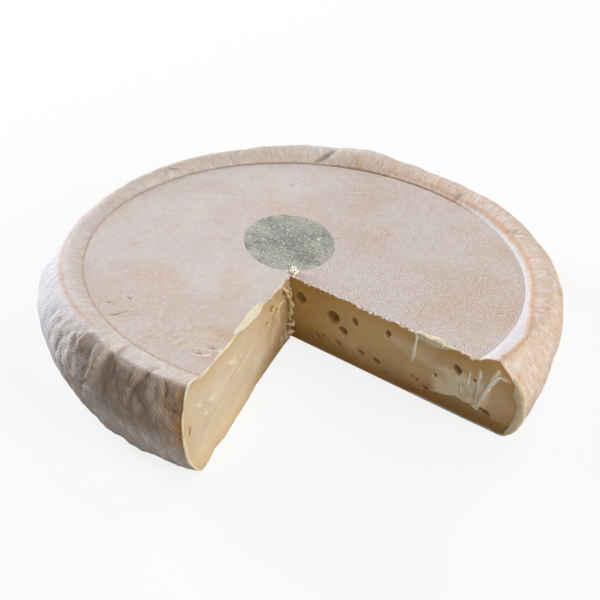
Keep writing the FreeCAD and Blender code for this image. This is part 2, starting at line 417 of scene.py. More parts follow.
@dataclass(frozen=True)
class Wheel:
    """The uncut wheel and the two knife cuts."""

    press_radius: float = 57.5
    core_height: float = 19.3
    top_slope: float = 0.0917
    thick_azimuth: float = -94.1
    crease_width: float = 1.2
    cut_x: float = 2.8
    cut_y: float = -10.4
    right_cut: float = 0.0
    cut_angle: float = 76.9

    def plane(self, x: Array, y: Array) -> Array:
        """Height of the pressed round: core height plus slope times way uphill."""
        uphill = math.radians(self.thick_azimuth)
        return self.core_height + self.top_slope * (
            x * math.cos(uphill) + y * math.sin(uphill))

    def sizes(self, azimuth: Array) -> list[Array]:
        """Station sizes at any azimuth, with a smooth step between two stations.

        Args:
            azimuth: degrees.

        Returns:
            The eight sizes after Station.azimuth, in order.
        """
        table = np.array([astuple(station) for station in (*STATIONS, STATIONS[0])])
        table[-1, 0] += 360.0
        start = table[0, 0]
        turned = (azimuth - start) % 360 + start
        low = np.clip(np.searchsorted(table[:, 0], turned, "right") - 1, 0, len(table) - 2)
        a, b = table[low], table[low + 1]
        q = ease((turned - a[..., 0]) / (b[..., 0] - a[..., 0]), 0, 1)
        return [a[..., k] + q * (b[..., k] - a[..., k]) for k in range(1, table.shape[1])]

    def profile(self, azimuth: Array, row: Array) -> tuple[Array, Array]:
        """The heel's profile, from crease to foot.

        The crease is a notch, a bell of 0.9 depth^1.5. The bead rises as sin^0.9 to the
        crest. Shoulder and tuck are quarters of superellipses: the shoulder's radius
        goes as sin^(2/n) and its height as cos^(2/n), the tuck's the other way round.

        Args:
            azimuth: degrees.
            row: 0..1 crease, 1..2 bead, 2..3 shoulder, 3..4 tuck.

        Returns:
            Radius and height in millimetres.
        """
        depth, rise, crest, belly, level, foot, shoulder, tuck = self.sizes(azimuth)
        start = self.press_radius
        wall, crest, belly, foot = (start + self.crease_width, start + crest,
                                    start + belly, start + foot)
        turn = np.radians(azimuth - self.thick_azimuth)

        def level_of(radius: Array) -> Array:
            """Height of the pressed round's plane at a radius."""
            return self.core_height + self.top_slope * radius * np.cos(turn)

        x, b = np.clip(row, 0, 1), np.clip(row - 1, 0, 1)
        t, u = (np.clip(row - k, 0, 1) * math.pi / 2 for k in (2, 3))
        inner = start + x * self.crease_width + b * (crest - wall)
        notch = 0.9 * depth ** 1.5 * bell(x - 0.35, 0.2) * ease(x, 0, 0.2)
        toe = 0.15
        lift = rise * np.where(row < 1, toe * ease(x, 0.5, 1.0),
                               toe + (1 - toe) * np.sin(b * math.pi / 2) ** 0.9)
        inner_height = level_of(inner) - notch * (row < 1) + lift
        crest_height = level_of(crest) + rise
        belly_height = crest_height * level
        sine, cosine = np.sin(t), np.clip(np.cos(t), 0, 1)
        upper = crest + (belly - crest) * sine ** (2 / shoulder)
        upper_height = (belly_height + (crest_height - belly_height)
                        * cosine ** (2 / shoulder))
        sine, cosine = np.sin(u), np.clip(np.cos(u), 0, 1)
        lower = foot + (belly - foot) * cosine ** (2 / tuck)
        lower_height = belly_height * (1 - sine ** (2 / tuck))
        radius = np.where(row <= 2, inner, np.where(row <= 3, upper, lower))
        height = np.where(row <= 2, inner_height,
                          np.where(row <= 3, upper_height, lower_height))
        return radius, height

    def cut_azimuths(self, row: Array) -> tuple[Array, Array]:
        """Azimuths where rows of the heel meet the two cuts.

        A cut lies where r cos(azimuth - n) = c, with n the azimuth of its normal and
        c the corner's distance along it, so azimuth = n -+ acos(c / r), worked out
        again as r changes with it.

        Args:
            row: rows of the profile.

        Returns:
            Azimuths at the first cut and, nearly once round, at the second.
        """
        rounds = 6
        ends = []
        for normal, sign in ((self.right_cut + 90, -1),
                             (self.right_cut - self.cut_angle + 270, 1)):
            n = math.radians(normal)
            c = self.cut_x * math.cos(n) + self.cut_y * math.sin(n)
            azimuth = np.full(row.shape, normal + sign * 90.0)
            for _ in range(rounds):
                radius = self.profile(azimuth, row)[0]
                azimuth = normal + sign * np.degrees(np.arccos(c / radius))
            ends.append(azimuth)
        return ends[0], ends[1]

    def corner(self, height: float | None = None) -> Array:
        """Point of the edge where the cuts meet, at a height or else on the top."""
        if height is None:
            height = float(self.plane(self.cut_x, self.cut_y))
        return np.array([self.cut_x, self.cut_y, height])


# ---------------------------------------------------------------- marks in the rind

@dataclass(frozen=True)
class Fold:
    """A crease in the heel, along a path of (azimuth, run from the crease ring).

    A depth below 0 makes a ridge, and step is how much higher its left side stands.
    """

    path: tuple[tuple[float, float], ...]
    depth: float
    width: float
    step: float = 0.0


FOLDS = (
    Fold(((263.9, 6.0), (263.7, 8.0), (262.9, 12.3), (261.0, 17.6)), -1.0, 0.42, 1.2),
    Fold(((274.4, 5.2), (273.5, 9.0), (272.2, 12.8), (271.6, 15.0)), 0.95, 0.6, 0.6),
    Fold(((264.2, 6.8), (267.4, 7.9), (271.2, 8.2)), -0.5, 0.4, 0.35),
    Fold(((267.3, 13.0), (267.5, 11.0), (268.1, 9.4), (270.0, 8.3)), -0.5, 0.4),
    Fold(((255.0, 8.0), (257.0, 6.4), (260.5, 5.6)), -0.4, 0.4, 0.3),
    Fold(((258.2, 12.4), (256.4, 10.0), (256.8, 7.4)), -0.35, 0.4, 0.25),
    Fold(((267.9, 13.0), (269.5, 14.6), (270.9, 13.9), (272.3, 12.1)), 0.35, 0.7),
    Fold(((278.6, 6.8), (279.4, 8.4), (279.3, 10.6)), 0.6, 0.5),
    Fold(((278.9, 12.2), (280.4, 13.0), (282.6, 12.9)), 0.75, 0.6, 0.25),
    Fold(((273.4, 12.6), (274.6, 13.8), (275.9, 15.4)), 0.5, 0.6),
    Fold(((260.6, 17.4), (258.4, 19.4), (257.6, 24.6), (259.2, 29.0)), 0.7, 1.1, -0.5),
    Fold(((252.4, 9.7), (249.6, 13.0), (248.6, 17.8)), 0.5, 0.8),
    Fold(((247.4, 8.6), (245.2, 13.0), (244.4, 18.0)), 0.3, 1.0),
    Fold(((242.8, 9.0), (241.4, 14.5)), 0.3, 1.0),
    Fold(((237.2, 9.5), (235.2, 15.0)), 0.25, 1.1),
    Fold(((264.0, 6.3), (264.1, 1.0), (267.4, 0.6), (270.8, 1.2)), -0.14, 0.5),
    Fold(((124.6, 1.6), (120.6, 5.4), (117.1, 9.0)), 1.1, 1.1),
    Fold(((169.4, 5.2), (166.4, 3.6)), 0.6, 0.6),
    Fold(((76.0, 0.6), (75.0, 6.0)), 0.5, 1.6),
    Fold(((52.6, 2.2), (51.4, 4.4), (48.0, 8.6)), 0.55, 0.5),
    Fold(((28.0, 8.0), (25.5, 16.0)), 0.35, 1.6),
    Fold(((146.0, 7.0), (143.0, 15.0), (145.0, 22.0)), 0.4, 1.5),
    Fold(((196.0, 9.0), (199.0, 17.0)), 0.4, 1.4),
    Fold(((96.0, 9.0), (99.5, 17.0), (97.5, 23.0)), 0.35, 1.5),
)


@dataclass(frozen=True)
class Pit:
    """A small hollow in the pressed round."""

    x: float
    y: float
    length: float
    width: float
    depth: float
    turn: float = 0.0


PITS = (
    Pit(-40.4, 36.4, 1.6, 1.1, 0.40), Pit(-29.6, 35.7, 1.2, 1.0, 0.40),
    Pit(-28.2, 31.3, 2.4, 1.0, 0.30, 40), Pit(-12.7, 47.9, 1.0, 1.0, 0.40),
    Pit(3.4, 48.2, 1.0, 0.9, 0.35), Pit(18.9, 29.5, 1.0, 0.8, 0.30),
    Pit(24.3, 25.5, 1.2, 0.8, 0.25, 80), Pit(31.5, 3.8, 1.1, 0.8, 0.50, 110),
    Pit(52.4, 10.3, 1.3, 1.0, 0.30), Pit(-22.3, -49.5, 1.2, 0.8, 0.45, 60),
    Pit(-19.9, -44.9, 1.3, 0.8, 0.45, 30), Pit(-17.4, -51.9, 4.0, 0.9, 0.35, 62),
    Pit(-12.0, 41.0, 2.0, 1.0, 0.20, 20), Pit(40.0, 22.0, 1.2, 0.9, 0.2),
    Pit(7.5, -50.5, 2.6, 1.0, 0.45, 20), Pit(8.8, -47.2, 2.2, 0.9, 0.35, 15),
)


@dataclass(frozen=True)
class Eye:
    """A gas hole laid open by the knife: distance from the corner, height, sizes."""

    out: float
    up: float
    length: float
    tall: float
    depth: float
    turn: float = 0.0


RIGHT_EYES = (
    Eye(3.4, 14.4, 3.4, 3.4, 2.2, -25), Eye(13.7, 12.9, 4.0, 3.9, 2.6),
    Eye(20.4, 14.5, 2.1, 2.9, 0.8, 15), Eye(16.9, 9.9, 2.9, 2.6, 1.5),
    Eye(30.1, 15.4, 1.9, 2.4, 1.4, -20), Eye(7.2, 3.0, 1.4, 0.9, 0.6, -20),
    Eye(9.1, 4.3, 2.1, 1.4, 1.0, -25), Eye(10.9, 5.5, 1.3, 1.0, 0.7, -30),
    Eye(12.7, 3.7, 1.4, 0.8, 0.6, -20), Eye(15.5, 5.2, 2.9, 1.3, 1.1, -20),
    Eye(22.4, 5.6, 2.5, 1.7, 1.2), Eye(27.3, 5.1, 2.7, 1.7, 1.3, -10),
    Eye(30.1, 2.6, 1.8, 0.9, 0.5, -20), Eye(37.8, 5.5, 1.2, 1.1, 0.6),
    Eye(39.2, 5.3, 1.2, 1.0, 0.5), Eye(44.0, 9.4, 1.3, 1.3, 0.7),
    Eye(41.7, 3.9, 2.4, 1.5, 0.6), Eye(41.9, 1.9, 2.3, 0.7, 0.7),
    Eye(49.5, 14.0, 2.6, 3.1, 1.8, 20), Eye(51.0, 10.0, 1.2, 1.1, 0.8),
    Eye(54.3, 13.1, 1.3, 1.2, 0.9), Eye(58.1, 4.7, 4.0, 2.1, 1.8, -14),
)
LEFT_EYES = (
    Eye(11.1, 17.2, 2.6, 2.2, 0.9, 30), Eye(3.9, 16.6, 2.2, 2.4, 1.2),
    Eye(1.2, 3.6, 2.2, 2.4, 1.4), Eye(14.2, 14.6, 1.6, 1.2, 0.4, 30),
    Eye(8.0, 14.8, 1.5, 1.2, 0.4), Eye(53.5, 13.2, 1.2, 3.4, 0.5, 8),
)


def eye_shape(out: Array, up: Array, eye: Eye) -> Array:
    """Share of the way from an eye's middle (0) to its rim (1), in the cut's plane."""
    along, across = turned_back(out - eye.out, up - eye.up, eye.turn)
    return np.hypot(along / (eye.length / 2), across / (eye.tall / 2))


# Sizes that follow the azimuth: azimuths in degrees, then the values there.
# Width in millimetres of the white strip of bloom by the crease on the right.
STRIP_WIDTH = ((0, 4, 18, 80, 350, 360), (5.4, 5.0, 2.5, 2.3, 5.6, 5.4))
# Millimetres from the crease to the orange line on the shoulder.
LINE_RUN = ((0, 4, 18, 80, 100, 190, 218, 240, 256, 280, 351, 360),
            (6.0, 5.6, 3.0, 2.8, 3.4, 6.0, 6.3, 5.9, 5.0, 5.5, 6.2, 6.0))
# How strong that line shows.
LINE_STRENGTH = ((0, 60, 84, 110, 170, 200, 250, 258, 276, 350, 360),
                 (0.8, 0.9, 0.7, 0.15, 0.2, 0.6, 0.7, 0.3, 0.2, 0.7, 0.8))
# How strong the painted shade in the crease is, strongest at the back under the high bead.
CREASE_SHADE = ((0, 58, 76, 100, 148, 170, 210, 260, 360),
                   (0.0, 0.0, 0.7, 1.0, 0.9, 0.5, 0.2, 0.0, 0.0))
# The folded front of the heel ends at the second cut, before this azimuth.
FRONT_END = 300


class RindRelief:
    """The small forms of the rind: undulation, pits, weave folds and wrinkles."""

    def __init__(self, wheel: Wheel) -> None:
        """Keeps the wheel and draws the random fields."""
        self.wheel = wheel
        self.broad = Lattice(11)
        self.fine = Lattice(23)

    def top(self, x: Array, y: Array) -> tuple[Array, dict[str, Array]]:
        """Height added to the pressed round, and the marks that go with it.

        The height is a slow undulation, wrinkles drawn out along azimuth 37 on the
        far left, shallow islands with raised rims where bloom has peeled, and pits,
        each a bell with a raised lip, all faded out at the crease.

        Args:
            x, y: millimetres.

        Returns:
            Height in millimetres, and the marks pit, halo, peel, stain and cloth.
        """
        rim = self.wheel.press_radius
        inside = 1 - ease(np.hypot(x, y), rim - 1.5, rim)
        height = 0.22 * self.broad.layers(x, y, 0.5, 26, 2)
        height += 0.05 * self.broad.layers(x, y, 4.5, 5, 3)
        u, v = turned_back(x, y, 37)
        wrinkled = ease(v, -6, 30) * ease(-u, -30, 10)
        height += 0.10 * wrinkled * self.fine.layers(u / 6, v, 1.5, 2.4, 2)
        pit, halo = np.zeros(x.shape), np.zeros(x.shape)
        for hollow in PITS:
            du, dv = x - hollow.x, y - hollow.y
            along, across = turned_back(du, dv, hollow.turn)
            q = np.hypot(along / (hollow.length * 0.6), across / (hollow.width * 0.6))
            height += hollow.depth * (0.3 * bell(q - 1.8, 0.8) - 0.8 * bell(q, 1.1))
            pit = np.maximum(pit, bell(q, 0.75))
            below = ease(0.6 * du - 0.8 * dv, -0.1, 0.5)
            halo = np.maximum(halo, bell(q - 1.5, 0.5) * below)
        zone = bell(x + 5, 15) * bell(y + 50, 7) + bell(x - 5, 6) * bell(y + 44, 6)
        patch = self.fine.layers(x + 40, y, 7.7, 3.0, 3) + 1.3 * np.clip(zone, 0, 1) - 1.25
        peel = ease(patch, 0.0, 0.3)
        height += 0.10 * bell(patch - 0.02, 0.10) - 0.12 * peel
        stain = bell(np.hypot((x - 7.6) / 4.5, (y + 41.2) / 3.2), 1.0)
        cloth = 0.18 + 0.82 * ease(x + 0.45 * y, -16, 16)
        return height * inside, {"pit": pit * inside, "halo": halo * inside,
                                 "peel": peel * inside, "stain": stain, "cloth": cloth}

    def facets(self, arc: Array, run: Array, size: float, seed: int, bend: Triple,
               drawn: float, crisp: float) -> tuple[Array, Array]:
        """Angular facets with creases between: second minus first cell distance.

        Args:
            arc, run: millimetres along and down the heel.
            size: millimetres across a facet.
            seed: number that fixes the facets.
            bend: height, size and level of the noise that bends the creases.
            drawn: width of a facet as a share of its length down the heel.
            crisp: difference of distances at which a facet is reached.

        Returns:
            Rise from 0 in a crease to 1, and each facet's own number from -0.5 to 0.5.
        """
        much, step, level = bend
        moved = arc + much * self.broad.at(arc / step, run / step, level)
        first, second, own = cells(moved, run * drawn, size, seed)
        return np.clip(second - first, 0, crisp) / crisp, own - 0.5

    def creases(self, arc: Array, run: Array, height: Array, valley: Array) -> Array:
        """Cuts the named folds into a height, in place.

        Each is a sharp crease or ridge exp(-distance / width), fading towards both
        ends, with one side standing higher and sinking back over about 3 mm.

        Args:
            arc, run: millimetres along and down the heel.
            height: the height that takes them.
            valley: the mark of the creases so far.

        Returns:
            The painted shade of the creases, with that of the sunken folds added.
        """
        for fold in FOLDS:
            path = [(math.radians(azimuth) * ARC_RADIUS, down) for azimuth, down in fold.path]
            reach, side, share = along_path(arc, run, path)
            strength = np.clip(np.sin(math.pi * (0.08 + 0.84 * share)), 0, 1) ** 0.6
            sharp = np.exp(-reach / fold.width) * strength
            height -= fold.depth * sharp
            height += (fold.step * np.sign(side) * (1 - np.exp(-reach / 0.35))
                       * np.exp(-reach / 3.2) * strength)
            # Painted shade in the sunken creases.
            if fold.depth > 0:
                valley = np.maximum(valley, bell(reach, fold.width * 0.9) * strength
                                    * min(1.0, fold.depth / 0.6))
        return valley

    def stains(self, arc: Array, run: Array, turned: Array, right: Array) -> dict[str, Array]:
        """Where wash and bloom lie on the heel, and where light and shade are painted on it:
        smooth steps of azimuth and run.

        Args:
            arc, run: millimetres along and down the heel.
            turned: azimuth from 0 to 360.
            right: 1 on the right side of the wheel, 0 elsewhere.

        Returns:
            The marks amber, moist, painted shade on the front, bloom (partly painted light on
            the far-left side) and warm.
        """
        before_cut = turned < FRONT_END
        amber = ease(turned, 276.5, 283) * before_cut * ease(run, 4.2, 7)
        amber = amber * (1 - ease(run, 24, 30))
        amber = amber * np.clip(0.75 + 0.5 * self.fine.layers(arc, run * 0.5, 6, 3, 2), 0, 1)
        moist = bell(np.hypot((turned - 110.2) * 1.1, (run - 4.6) / 1.4), 2.0)
        # Painted shade: darker on the front of the heel, from about azimuth 253 up to the
        # second cut, about 6 to 27 mm down the heel, where it is turned from the lamps.
        patch = between(turned, (253, 258), (262, 265)) * (1 - ease(run, 12, 18))
        front = 0.85 * ease(turned, 260, 266) * before_cut * (1 - ease(run, 16, 27))
        dusk = np.maximum(patch, front) * ease(run, 5.5, 8)
        # The bloom mark: a real white strip by the crease on the right; on the far-left side,
        # high on the heel and low down, it is partly painted light where the left lamp falls.
        far = between(turned, (192, 214), (238, 254)) * ease(run, -1, 8)
        high = 1 - ease(run, 24, 34)
        low = (ease(turned, 200, 216) * (1 - 0.5 * ease(turned, 240, 262)) * before_cut
               * ease(run, 18, 26))
        wide = np.interp(turned, *STRIP_WIDTH)
        strip = right * (1 - ease(run, wide - 0.9, wide))
        bloom = np.maximum(np.maximum(0.9 * far * high, 0.8 * low), 0.8 * strip)
        warm = 1 - ease(np.abs((turned + 180) % 360 - 180 - 20), 60, 110)
        return {"amber": amber, "moist": moist, "dusk": dusk, "bloom": bloom, "warm": warm}

    def heel(self, azimuth: Array, run: Array, length: Array
             ) -> tuple[Array, dict[str, Array]]:
        """Height added to the heel, outwards, and the marks that go with it.

        Broad lumps, wrinkles drawn out along the profile, fine striations across the
        bead, angular facets where the rind folded, the named folds, and on the right
        a ridge along the shoulder line and two fine ones by the crease.

        Args:
            azimuth: degrees.
            run: millimetres from the crease along the profile.
            length: the whole profile's length.

        Returns:
            Height in millimetres, and the marks: painted shade in the folds, amber, moist,
            painted shade on the front, bloom (partly painted light on the far-left side),
            warm, the shoulder line's place (line) and strength (lined), and the strength of
            the crease's painted shade.
        """
        arc = np.radians(azimuth) * ARC_RADIUS
        turned = azimuth % 360
        start = between(run, (1.2, 4.0), (length - 4, length))
        height = 0.30 * self.broad.layers(arc, run, 1.0, 14, 2)
        height += ease(run, 6, 11) * 0.16 * self.broad.layers(arc, run * 0.7, 5.0, 4.2, 3)
        height += 0.08 * self.fine.layers(arc, run, 2.2, 2.2, 2)
        height += 0.08 * bell(run - 3.2, 1.7) * self.fine.layers(arc, run * 0.22, 3.3, 1.1, 1)
        folded = between(turned, (240, 258), (281, 285))
        band = between(run, (6.5, 9.5), (24, 31))
        facet, own = self.facets(arc, run, 6.0, 5, (0.8, 5, 3.0), 1.0, 0.45)
        height += folded * band * (0.45 * facet + 0.5 * own)
        # Painted shade in the creases between the facets.
        valley = folded * band * (1 - ease(facet, 0.0, 0.25)) * 0.35
        facet, own = self.facets(arc, run, 2.7, 6, (0.5, 2, 8.0), 0.8, 0.4)
        height += folded * ease(run, 5.5, 8) * (0.14 * facet + 0.2 * own)
        valley = self.creases(arc, run, height, valley)
        right = np.maximum(ease(turned, 338, 344),
                           (1 - ease(turned, 66, 80)) * (turned < 180))
        line = run - np.interp(turned, *LINE_RUN)
        height += 0.45 * right * np.exp(-np.abs(line) / 0.9)
        height += 0.22 * right * (bell(run - 1.5, 0.28) + 0.6 * bell(run - 2.3, 0.25))
        return height * start, {
            "valley": valley, "line": line, "lined": np.interp(turned, *LINE_STRENGTH),
            "crease": np.interp(turned, *CREASE_SHADE),
            **self.stains(arc, run, turned, right)}


# Height of the first cut's ledge: distances from the corner, then heights.
LEDGE = ((36, 39, 45.4, 50.7, 55.2, 60, 66), (1.0, 2.4, 4.2, 5.6, 4.8, 3.6, 3.4))
# Ridges of its torn place: a path of (distance, height) and how far each stands out.
RIDGES = (
    (((59.8, 19.0), (57.4, 12.5), (55.2, 5.4)), 1.05),
    (((55.4, 16.6), (55.5, 11.0), (55.1, 5.6)), 0.60),
    (((53.0, 15.0), (52.6, 9.0)), 0.35),
    (((62.6, 17.4), (60.6, 17.9), (59.0, 16.6)), 0.35),
)
# Smears on the second cut, raised ovals with no hollow, and the groove below them.
SMEARS = (
    Eye(33.7, 17.3, 4.4, 1.3, 0, 40), Eye(31.6, 16.2, 3.8, 0.8, 0, 75),
    Eye(43.8, 14.7, 4.8, 1.5, 0, 30), Eye(49.1, 17.2, 2.6, 1.0, 0, 35),
    Eye(28.4, 15.2, 2.4, 0.8, 0, 60), Eye(46.6, 12.6, 2.0, 1.2, 0, 20),
)
GROOVE = ((24, 13.5), (36, 12.0), (50, 6.0), (57, 5.0))


class CutRelief:
    """The small forms of the two cut faces. Heights are out of the cheese."""

    def __init__(self) -> None:
        """Draws the random fields."""
        self.broad = Lattice(37)
        self.fine = Lattice(41)

    def eyes(self, out: Array, up: Array, eyes: Sequence[Eye]
             ) -> tuple[Array, Array, Array, Array]:
        """Egg-shaped hollows, and points near a rim moved onto it.

        Args:
            out, up: place in the cut's plane.
            eyes: the hollows.

        Returns:
            The moved place, the height and the mark hollow from 0 to 1.
        """
        height = np.zeros(out.shape)
        hollow = np.zeros(out.shape)
        for eye in eyes:
            q = eye_shape(out, up, eye)
            near = 0.20 / min(eye.length, eye.tall)
            snapped = np.where(np.abs(q - 1) < near, 1.0, q) / np.maximum(q, 1e-6)
            out = eye.out + (out - eye.out) * snapped
            up = eye.up + (up - eye.up) * snapped
            q = q * snapped
            inside = q < 0.999
            height -= inside * eye.depth * np.sqrt(np.clip(1 - q * q, 0, 1))
            height += 0.05 * bell(q - 1.12, 0.14) * ~inside
            # The mark of each eye's inside, where the paste is darkened as painted shade.
            hollow = np.maximum(hollow, inside * (1 - ease(q, 0.75, 1.0) * 0.35))
        return out, up, height, hollow

    def strokes(self, out: Array, up: Array) -> Array:
        """Fine lines that the knife drew, from -1 to 1: a noise drawn out 20 to 1."""
        lines = self.fine.layers(out * 0.05, up + 0.05 * out, 0.4, 0.9, 2)
        return lines * (0.5 + 0.5 * self.broad.layers(out, up, 1.1, 9, 2))

    def right(self, out: Array, up: Array) -> tuple[Array, Array]:
        """The first cut: a ledge, a torn zone above it and a hollow panel at the end.

        The ledge is a smooth step with a raised lip, the torn zone a noise with
        ridges exp(-distance / width), and the panel a bell.

        Args:
            out, up: place in the cut's plane.

        Returns:
            Height in millimetres, and the mark torn from 0 to 1.
        """
        height = 0.05 * self.strokes(out, up)
        height += 0.10 * self.broad.layers(out, up, 2.2, 6, 2)
        line = np.interp(out, *LEDGE)
        line = line + 0.25 * self.fine.layers(out, out * 0, 4.4, 1.8, 2)
        start = ease(out, 36, 40)
        height -= 0.55 * start * (1 - ease(up - line, -0.12, 0.16)) * (
            0.55 + 0.45 * ease(up, 0, 2.5))
        height += 0.22 * start * bell(up - line - 0.3, 0.45)
        zone = between(out, (41, 47), (56.5, 60)) * ease(up - line, 0, 0.6)
        zone = zone * (1 - ease(up, 11.5, 16.0))
        rough = self.fine.layers(out, up * 0.7, 6.1, 2.4, 3)
        height += zone * (0.22 * rough + 0.16)
        torn = zone * np.clip(0.9 + 0.5 * rough, 0, 1)
        for path, tall in RIDGES:
            reach, _, share = along_path(out, up, path)
            ridge = np.exp(-reach / 0.30) * np.sin(math.pi * (0.12 + 0.8 * share))
            height += tall * ridge
            torn = np.maximum(torn, min(1.0, tall + 0.3) * bell(reach, 0.6))
        panel = bell(np.hypot((out - 60.4) / 4.6, (up - 10.2) / 5.6), 1.0)
        height -= 0.55 * panel
        height -= 0.9 * ease(out, 63, 68.5) * (1 - ease(up, 9, 15))
        return height, torn

    def left(self, out: Array, up: Array) -> tuple[Array, Array]:
        """The second cut: smooth, rough close to the corner, with bells for smears.

        Args:
            out, up: place in the cut's plane.

        Returns:
            Height in millimetres, and the mark torn from 0 to 1.
        """
        height = 0.05 * self.strokes(out, up)
        height += 0.12 * self.broad.layers(out, up, 8.2, 9, 2)
        near = 1 - ease(out, 6, 20)
        rough = self.fine.layers(out, up * 0.4, 6.6, 2.6, 3)
        height += near * 0.35 * rough
        torn = near * np.clip(rough, 0, 1) * 0.5
        for smear in SMEARS:
            spread = bell(eye_shape(out, up, smear), 0.9)
            height += 0.34 * spread
            torn = np.maximum(torn, 0.95 * spread)
        reach, _, _ = along_path(out, up, GROOVE)
        height -= 0.16 * bell(reach, 0.8)
        return height, torn


# ---------------------------------------------------------------- the cut wheel

@dataclass
class CutEdge:
    """One knife cut: its way, its outward normal, and its outline once built."""

    azimuth: float
    out_turn: float
    column: int
    eyes: tuple[Eye, ...]
    fine: bool
    upper: Array = field(default_factory=lambda: np.zeros((0, 3)))
    lower: Array = field(default_factory=lambda: np.zeros((0, 3)))

    def way(self) -> Array:
        """Unit vector along the cut, from the corner outwards."""
        return way_of(self.azimuth)

    def normal(self) -> Array:
        """Unit vector out of the cheese, into the gap."""
        return way_of(self.azimuth + self.out_turn)


# Millimetres that the second cut's foot sags, by distance from the corner.
SAG = ((22, 26.5, 30, 35.5, 41, 45, 49.4, 56, 60, 64),
       (0.0, 0.5, 0.6, 0.8, 1.1, 0.7, 1.3, 1.2, 0.8, 0.4))


@dataclass
class CutWheel:
    """The cheese as one closed skin: pressed round, heel, base and two cut faces."""

    wheel: Wheel = field(default_factory=Wheel)
    columns: int = 480
    top_zones: tuple[tuple[int, float, float], ...] = (
        (50, 1.0, 0.5), (26, 0.5, 0.24), (14, 0.24, 0.10), (8, 0.10, 0.02))
    base_skips: tuple[int, ...] = (2, 4, 8, 16)
    cut_rows: int = 60
    right_tuck: float = 1.2
    base_run: float = 200.0
    foot_radius: float = 64.0
    foot_spread: float = 0.35
    clearance: float = 0.03

    def __post_init__(self) -> None:
        """Starts the skin, the two kinds of relief and the two cuts."""
        self.skin = Skin((
            "x", "y", "ring", "arc", "run", "out", "up", "pit", "halo", "peel", "stain",
            "cloth", "valley", "amber", "moist", "line", "lined", "crease", "bloom",
            "warm", "dusk", "under", "hollow", "torn"))
        self.rind = RindRelief(self.wheel)
        self.relief = CutRelief()
        left = self.wheel.right_cut - self.wheel.cut_angle
        self.right = CutEdge(self.wheel.right_cut, -90, 0, RIGHT_EYES, True)
        self.left = CutEdge(left, 90, -1, LEFT_EYES, False)

    def shares(self) -> Array:
        """Shares of the way round for each column, closer where the heel is folded.

        Each share is where the running sum of a density passes an even step.

        Returns:
            Shares from 0 to 1, one a column.
        """
        samples = 2000
        azimuth = np.linspace(-9, 283, samples)
        density = 1.0 + 1.1 * ease(azimuth, 232, 250)
        way = np.concatenate([[0], np.cumsum((density[1:] + density[:-1]) / 2)])
        even = np.linspace(0, 1, self.columns + 1)
        return np.interp(even, way / way[-1], np.linspace(0, 1, samples))

    def warp(self, points: Array) -> Array:
        """Soft sag of the second cut's foot, and a deeper tuck by the first cut.

        The foot bulges into the gap by up to 1.3 mm, and the heel's lower half is drawn
        in by up to right_tuck, each a bell of the distance from its place.

        Args:
            points: array (..., 3) in millimetres.

        Returns:
            The moved points.
        """
        x, y, z = points[..., 0], points[..., 1], points[..., 2]
        along = np.stack([x - self.wheel.cut_x, y - self.wheel.cut_y, 0 * z], -1)
        way, normal = self.left.way(), self.left.normal()
        out, behind = along @ way, -(along @ normal)
        push = np.interp(out, *SAG) * bell(z, 3.2) * bell(np.clip(behind, 0, None), 5.0)
        push = push * (behind > -3)
        moved = points + push[..., None] * normal
        azimuth = np.degrees(np.arctan2(y, x))
        radius = np.hypot(x, y)
        tuck = self.right_tuck * bell(azimuth - 4, 22) * (1 - ease(z, 5, 15))
        tuck = tuck * ease(radius, 56, 65)
        moved[..., :2] -= (tuck / np.maximum(radius, 1))[..., None] * points[..., :2]
        return moved

    def add(self, points: Array, **values: Array | float) -> Array:
        """Adds warped points to the skin, with the numbers that follow from place.

        Args:
            points: array (..., 3) in millimetres, before the warp.
            values: the other numbers by field name.

        Returns:
            Index of each point.
        """
        moved = self.warp(points)
        x, y = points[..., 0], points[..., 1]
        return self.skin.add(
            moved, x=x, y=y, up=points[..., 2],
            out=np.hypot(x - self.wheel.cut_x, y - self.wheel.cut_y),
            ring=np.hypot(x, y) - self.wheel.press_radius, **values)

    def heel(self) -> tuple[Array, Array]:
        """The heel's grid, with its relief along the surface's own normal.

        Returns:
            Points (rows, columns, 3) and their indices.
        """
        self.skin.material = 1
        rows = [np.linspace(k, k + 1, band.value + 1)[1:] for k, band in enumerate(Band)]
        row = np.concatenate([[0.0], *rows])
        low, high = self.wheel.cut_azimuths(row)
        azimuth = low[:, None] + (high - low)[:, None] * self.shares()
        row = np.broadcast_to(row[:, None], azimuth.shape)
        radius, height = self.wheel.profile(azimuth, row)
        turn = np.radians(azimuth)
        points = np.stack([radius * np.cos(turn), radius * np.sin(turn), height], -1)
        steps = np.hypot(np.diff(radius, axis=0), np.diff(height, axis=0))
        run = np.concatenate([np.zeros((1, azimuth.shape[1])), np.cumsum(steps, 0)])
        lift, marks = self.rind.heel(azimuth, run, run[-1:])
        normal = np.cross(np.gradient(points, axis=0), np.gradient(points, axis=1))
        normal /= np.maximum(np.linalg.norm(normal, axis=-1, keepdims=True), 1e-9)
        points = points + normal * lift[..., None]
        arc = turn * self.foot_radius
        spread = self.foot_spread * self.rind.fine.layers(arc, 0 * turn, 9.1, 4.5, 3)
        spread = spread * ease(run, run[-1:] - 9, run[-1:])
        points[..., 0] += spread * np.cos(turn)
        points[..., 1] += spread * np.sin(turn)
        points[:-1, :, 2] = np.maximum(points[:-1, :, 2], self.clearance)
        points[-1, :, 2] = 0.0
        index = self.add(points, arc=turn * ARC_RADIUS, run=run, **marks)
        self.skin.grid(index)
        return points, index

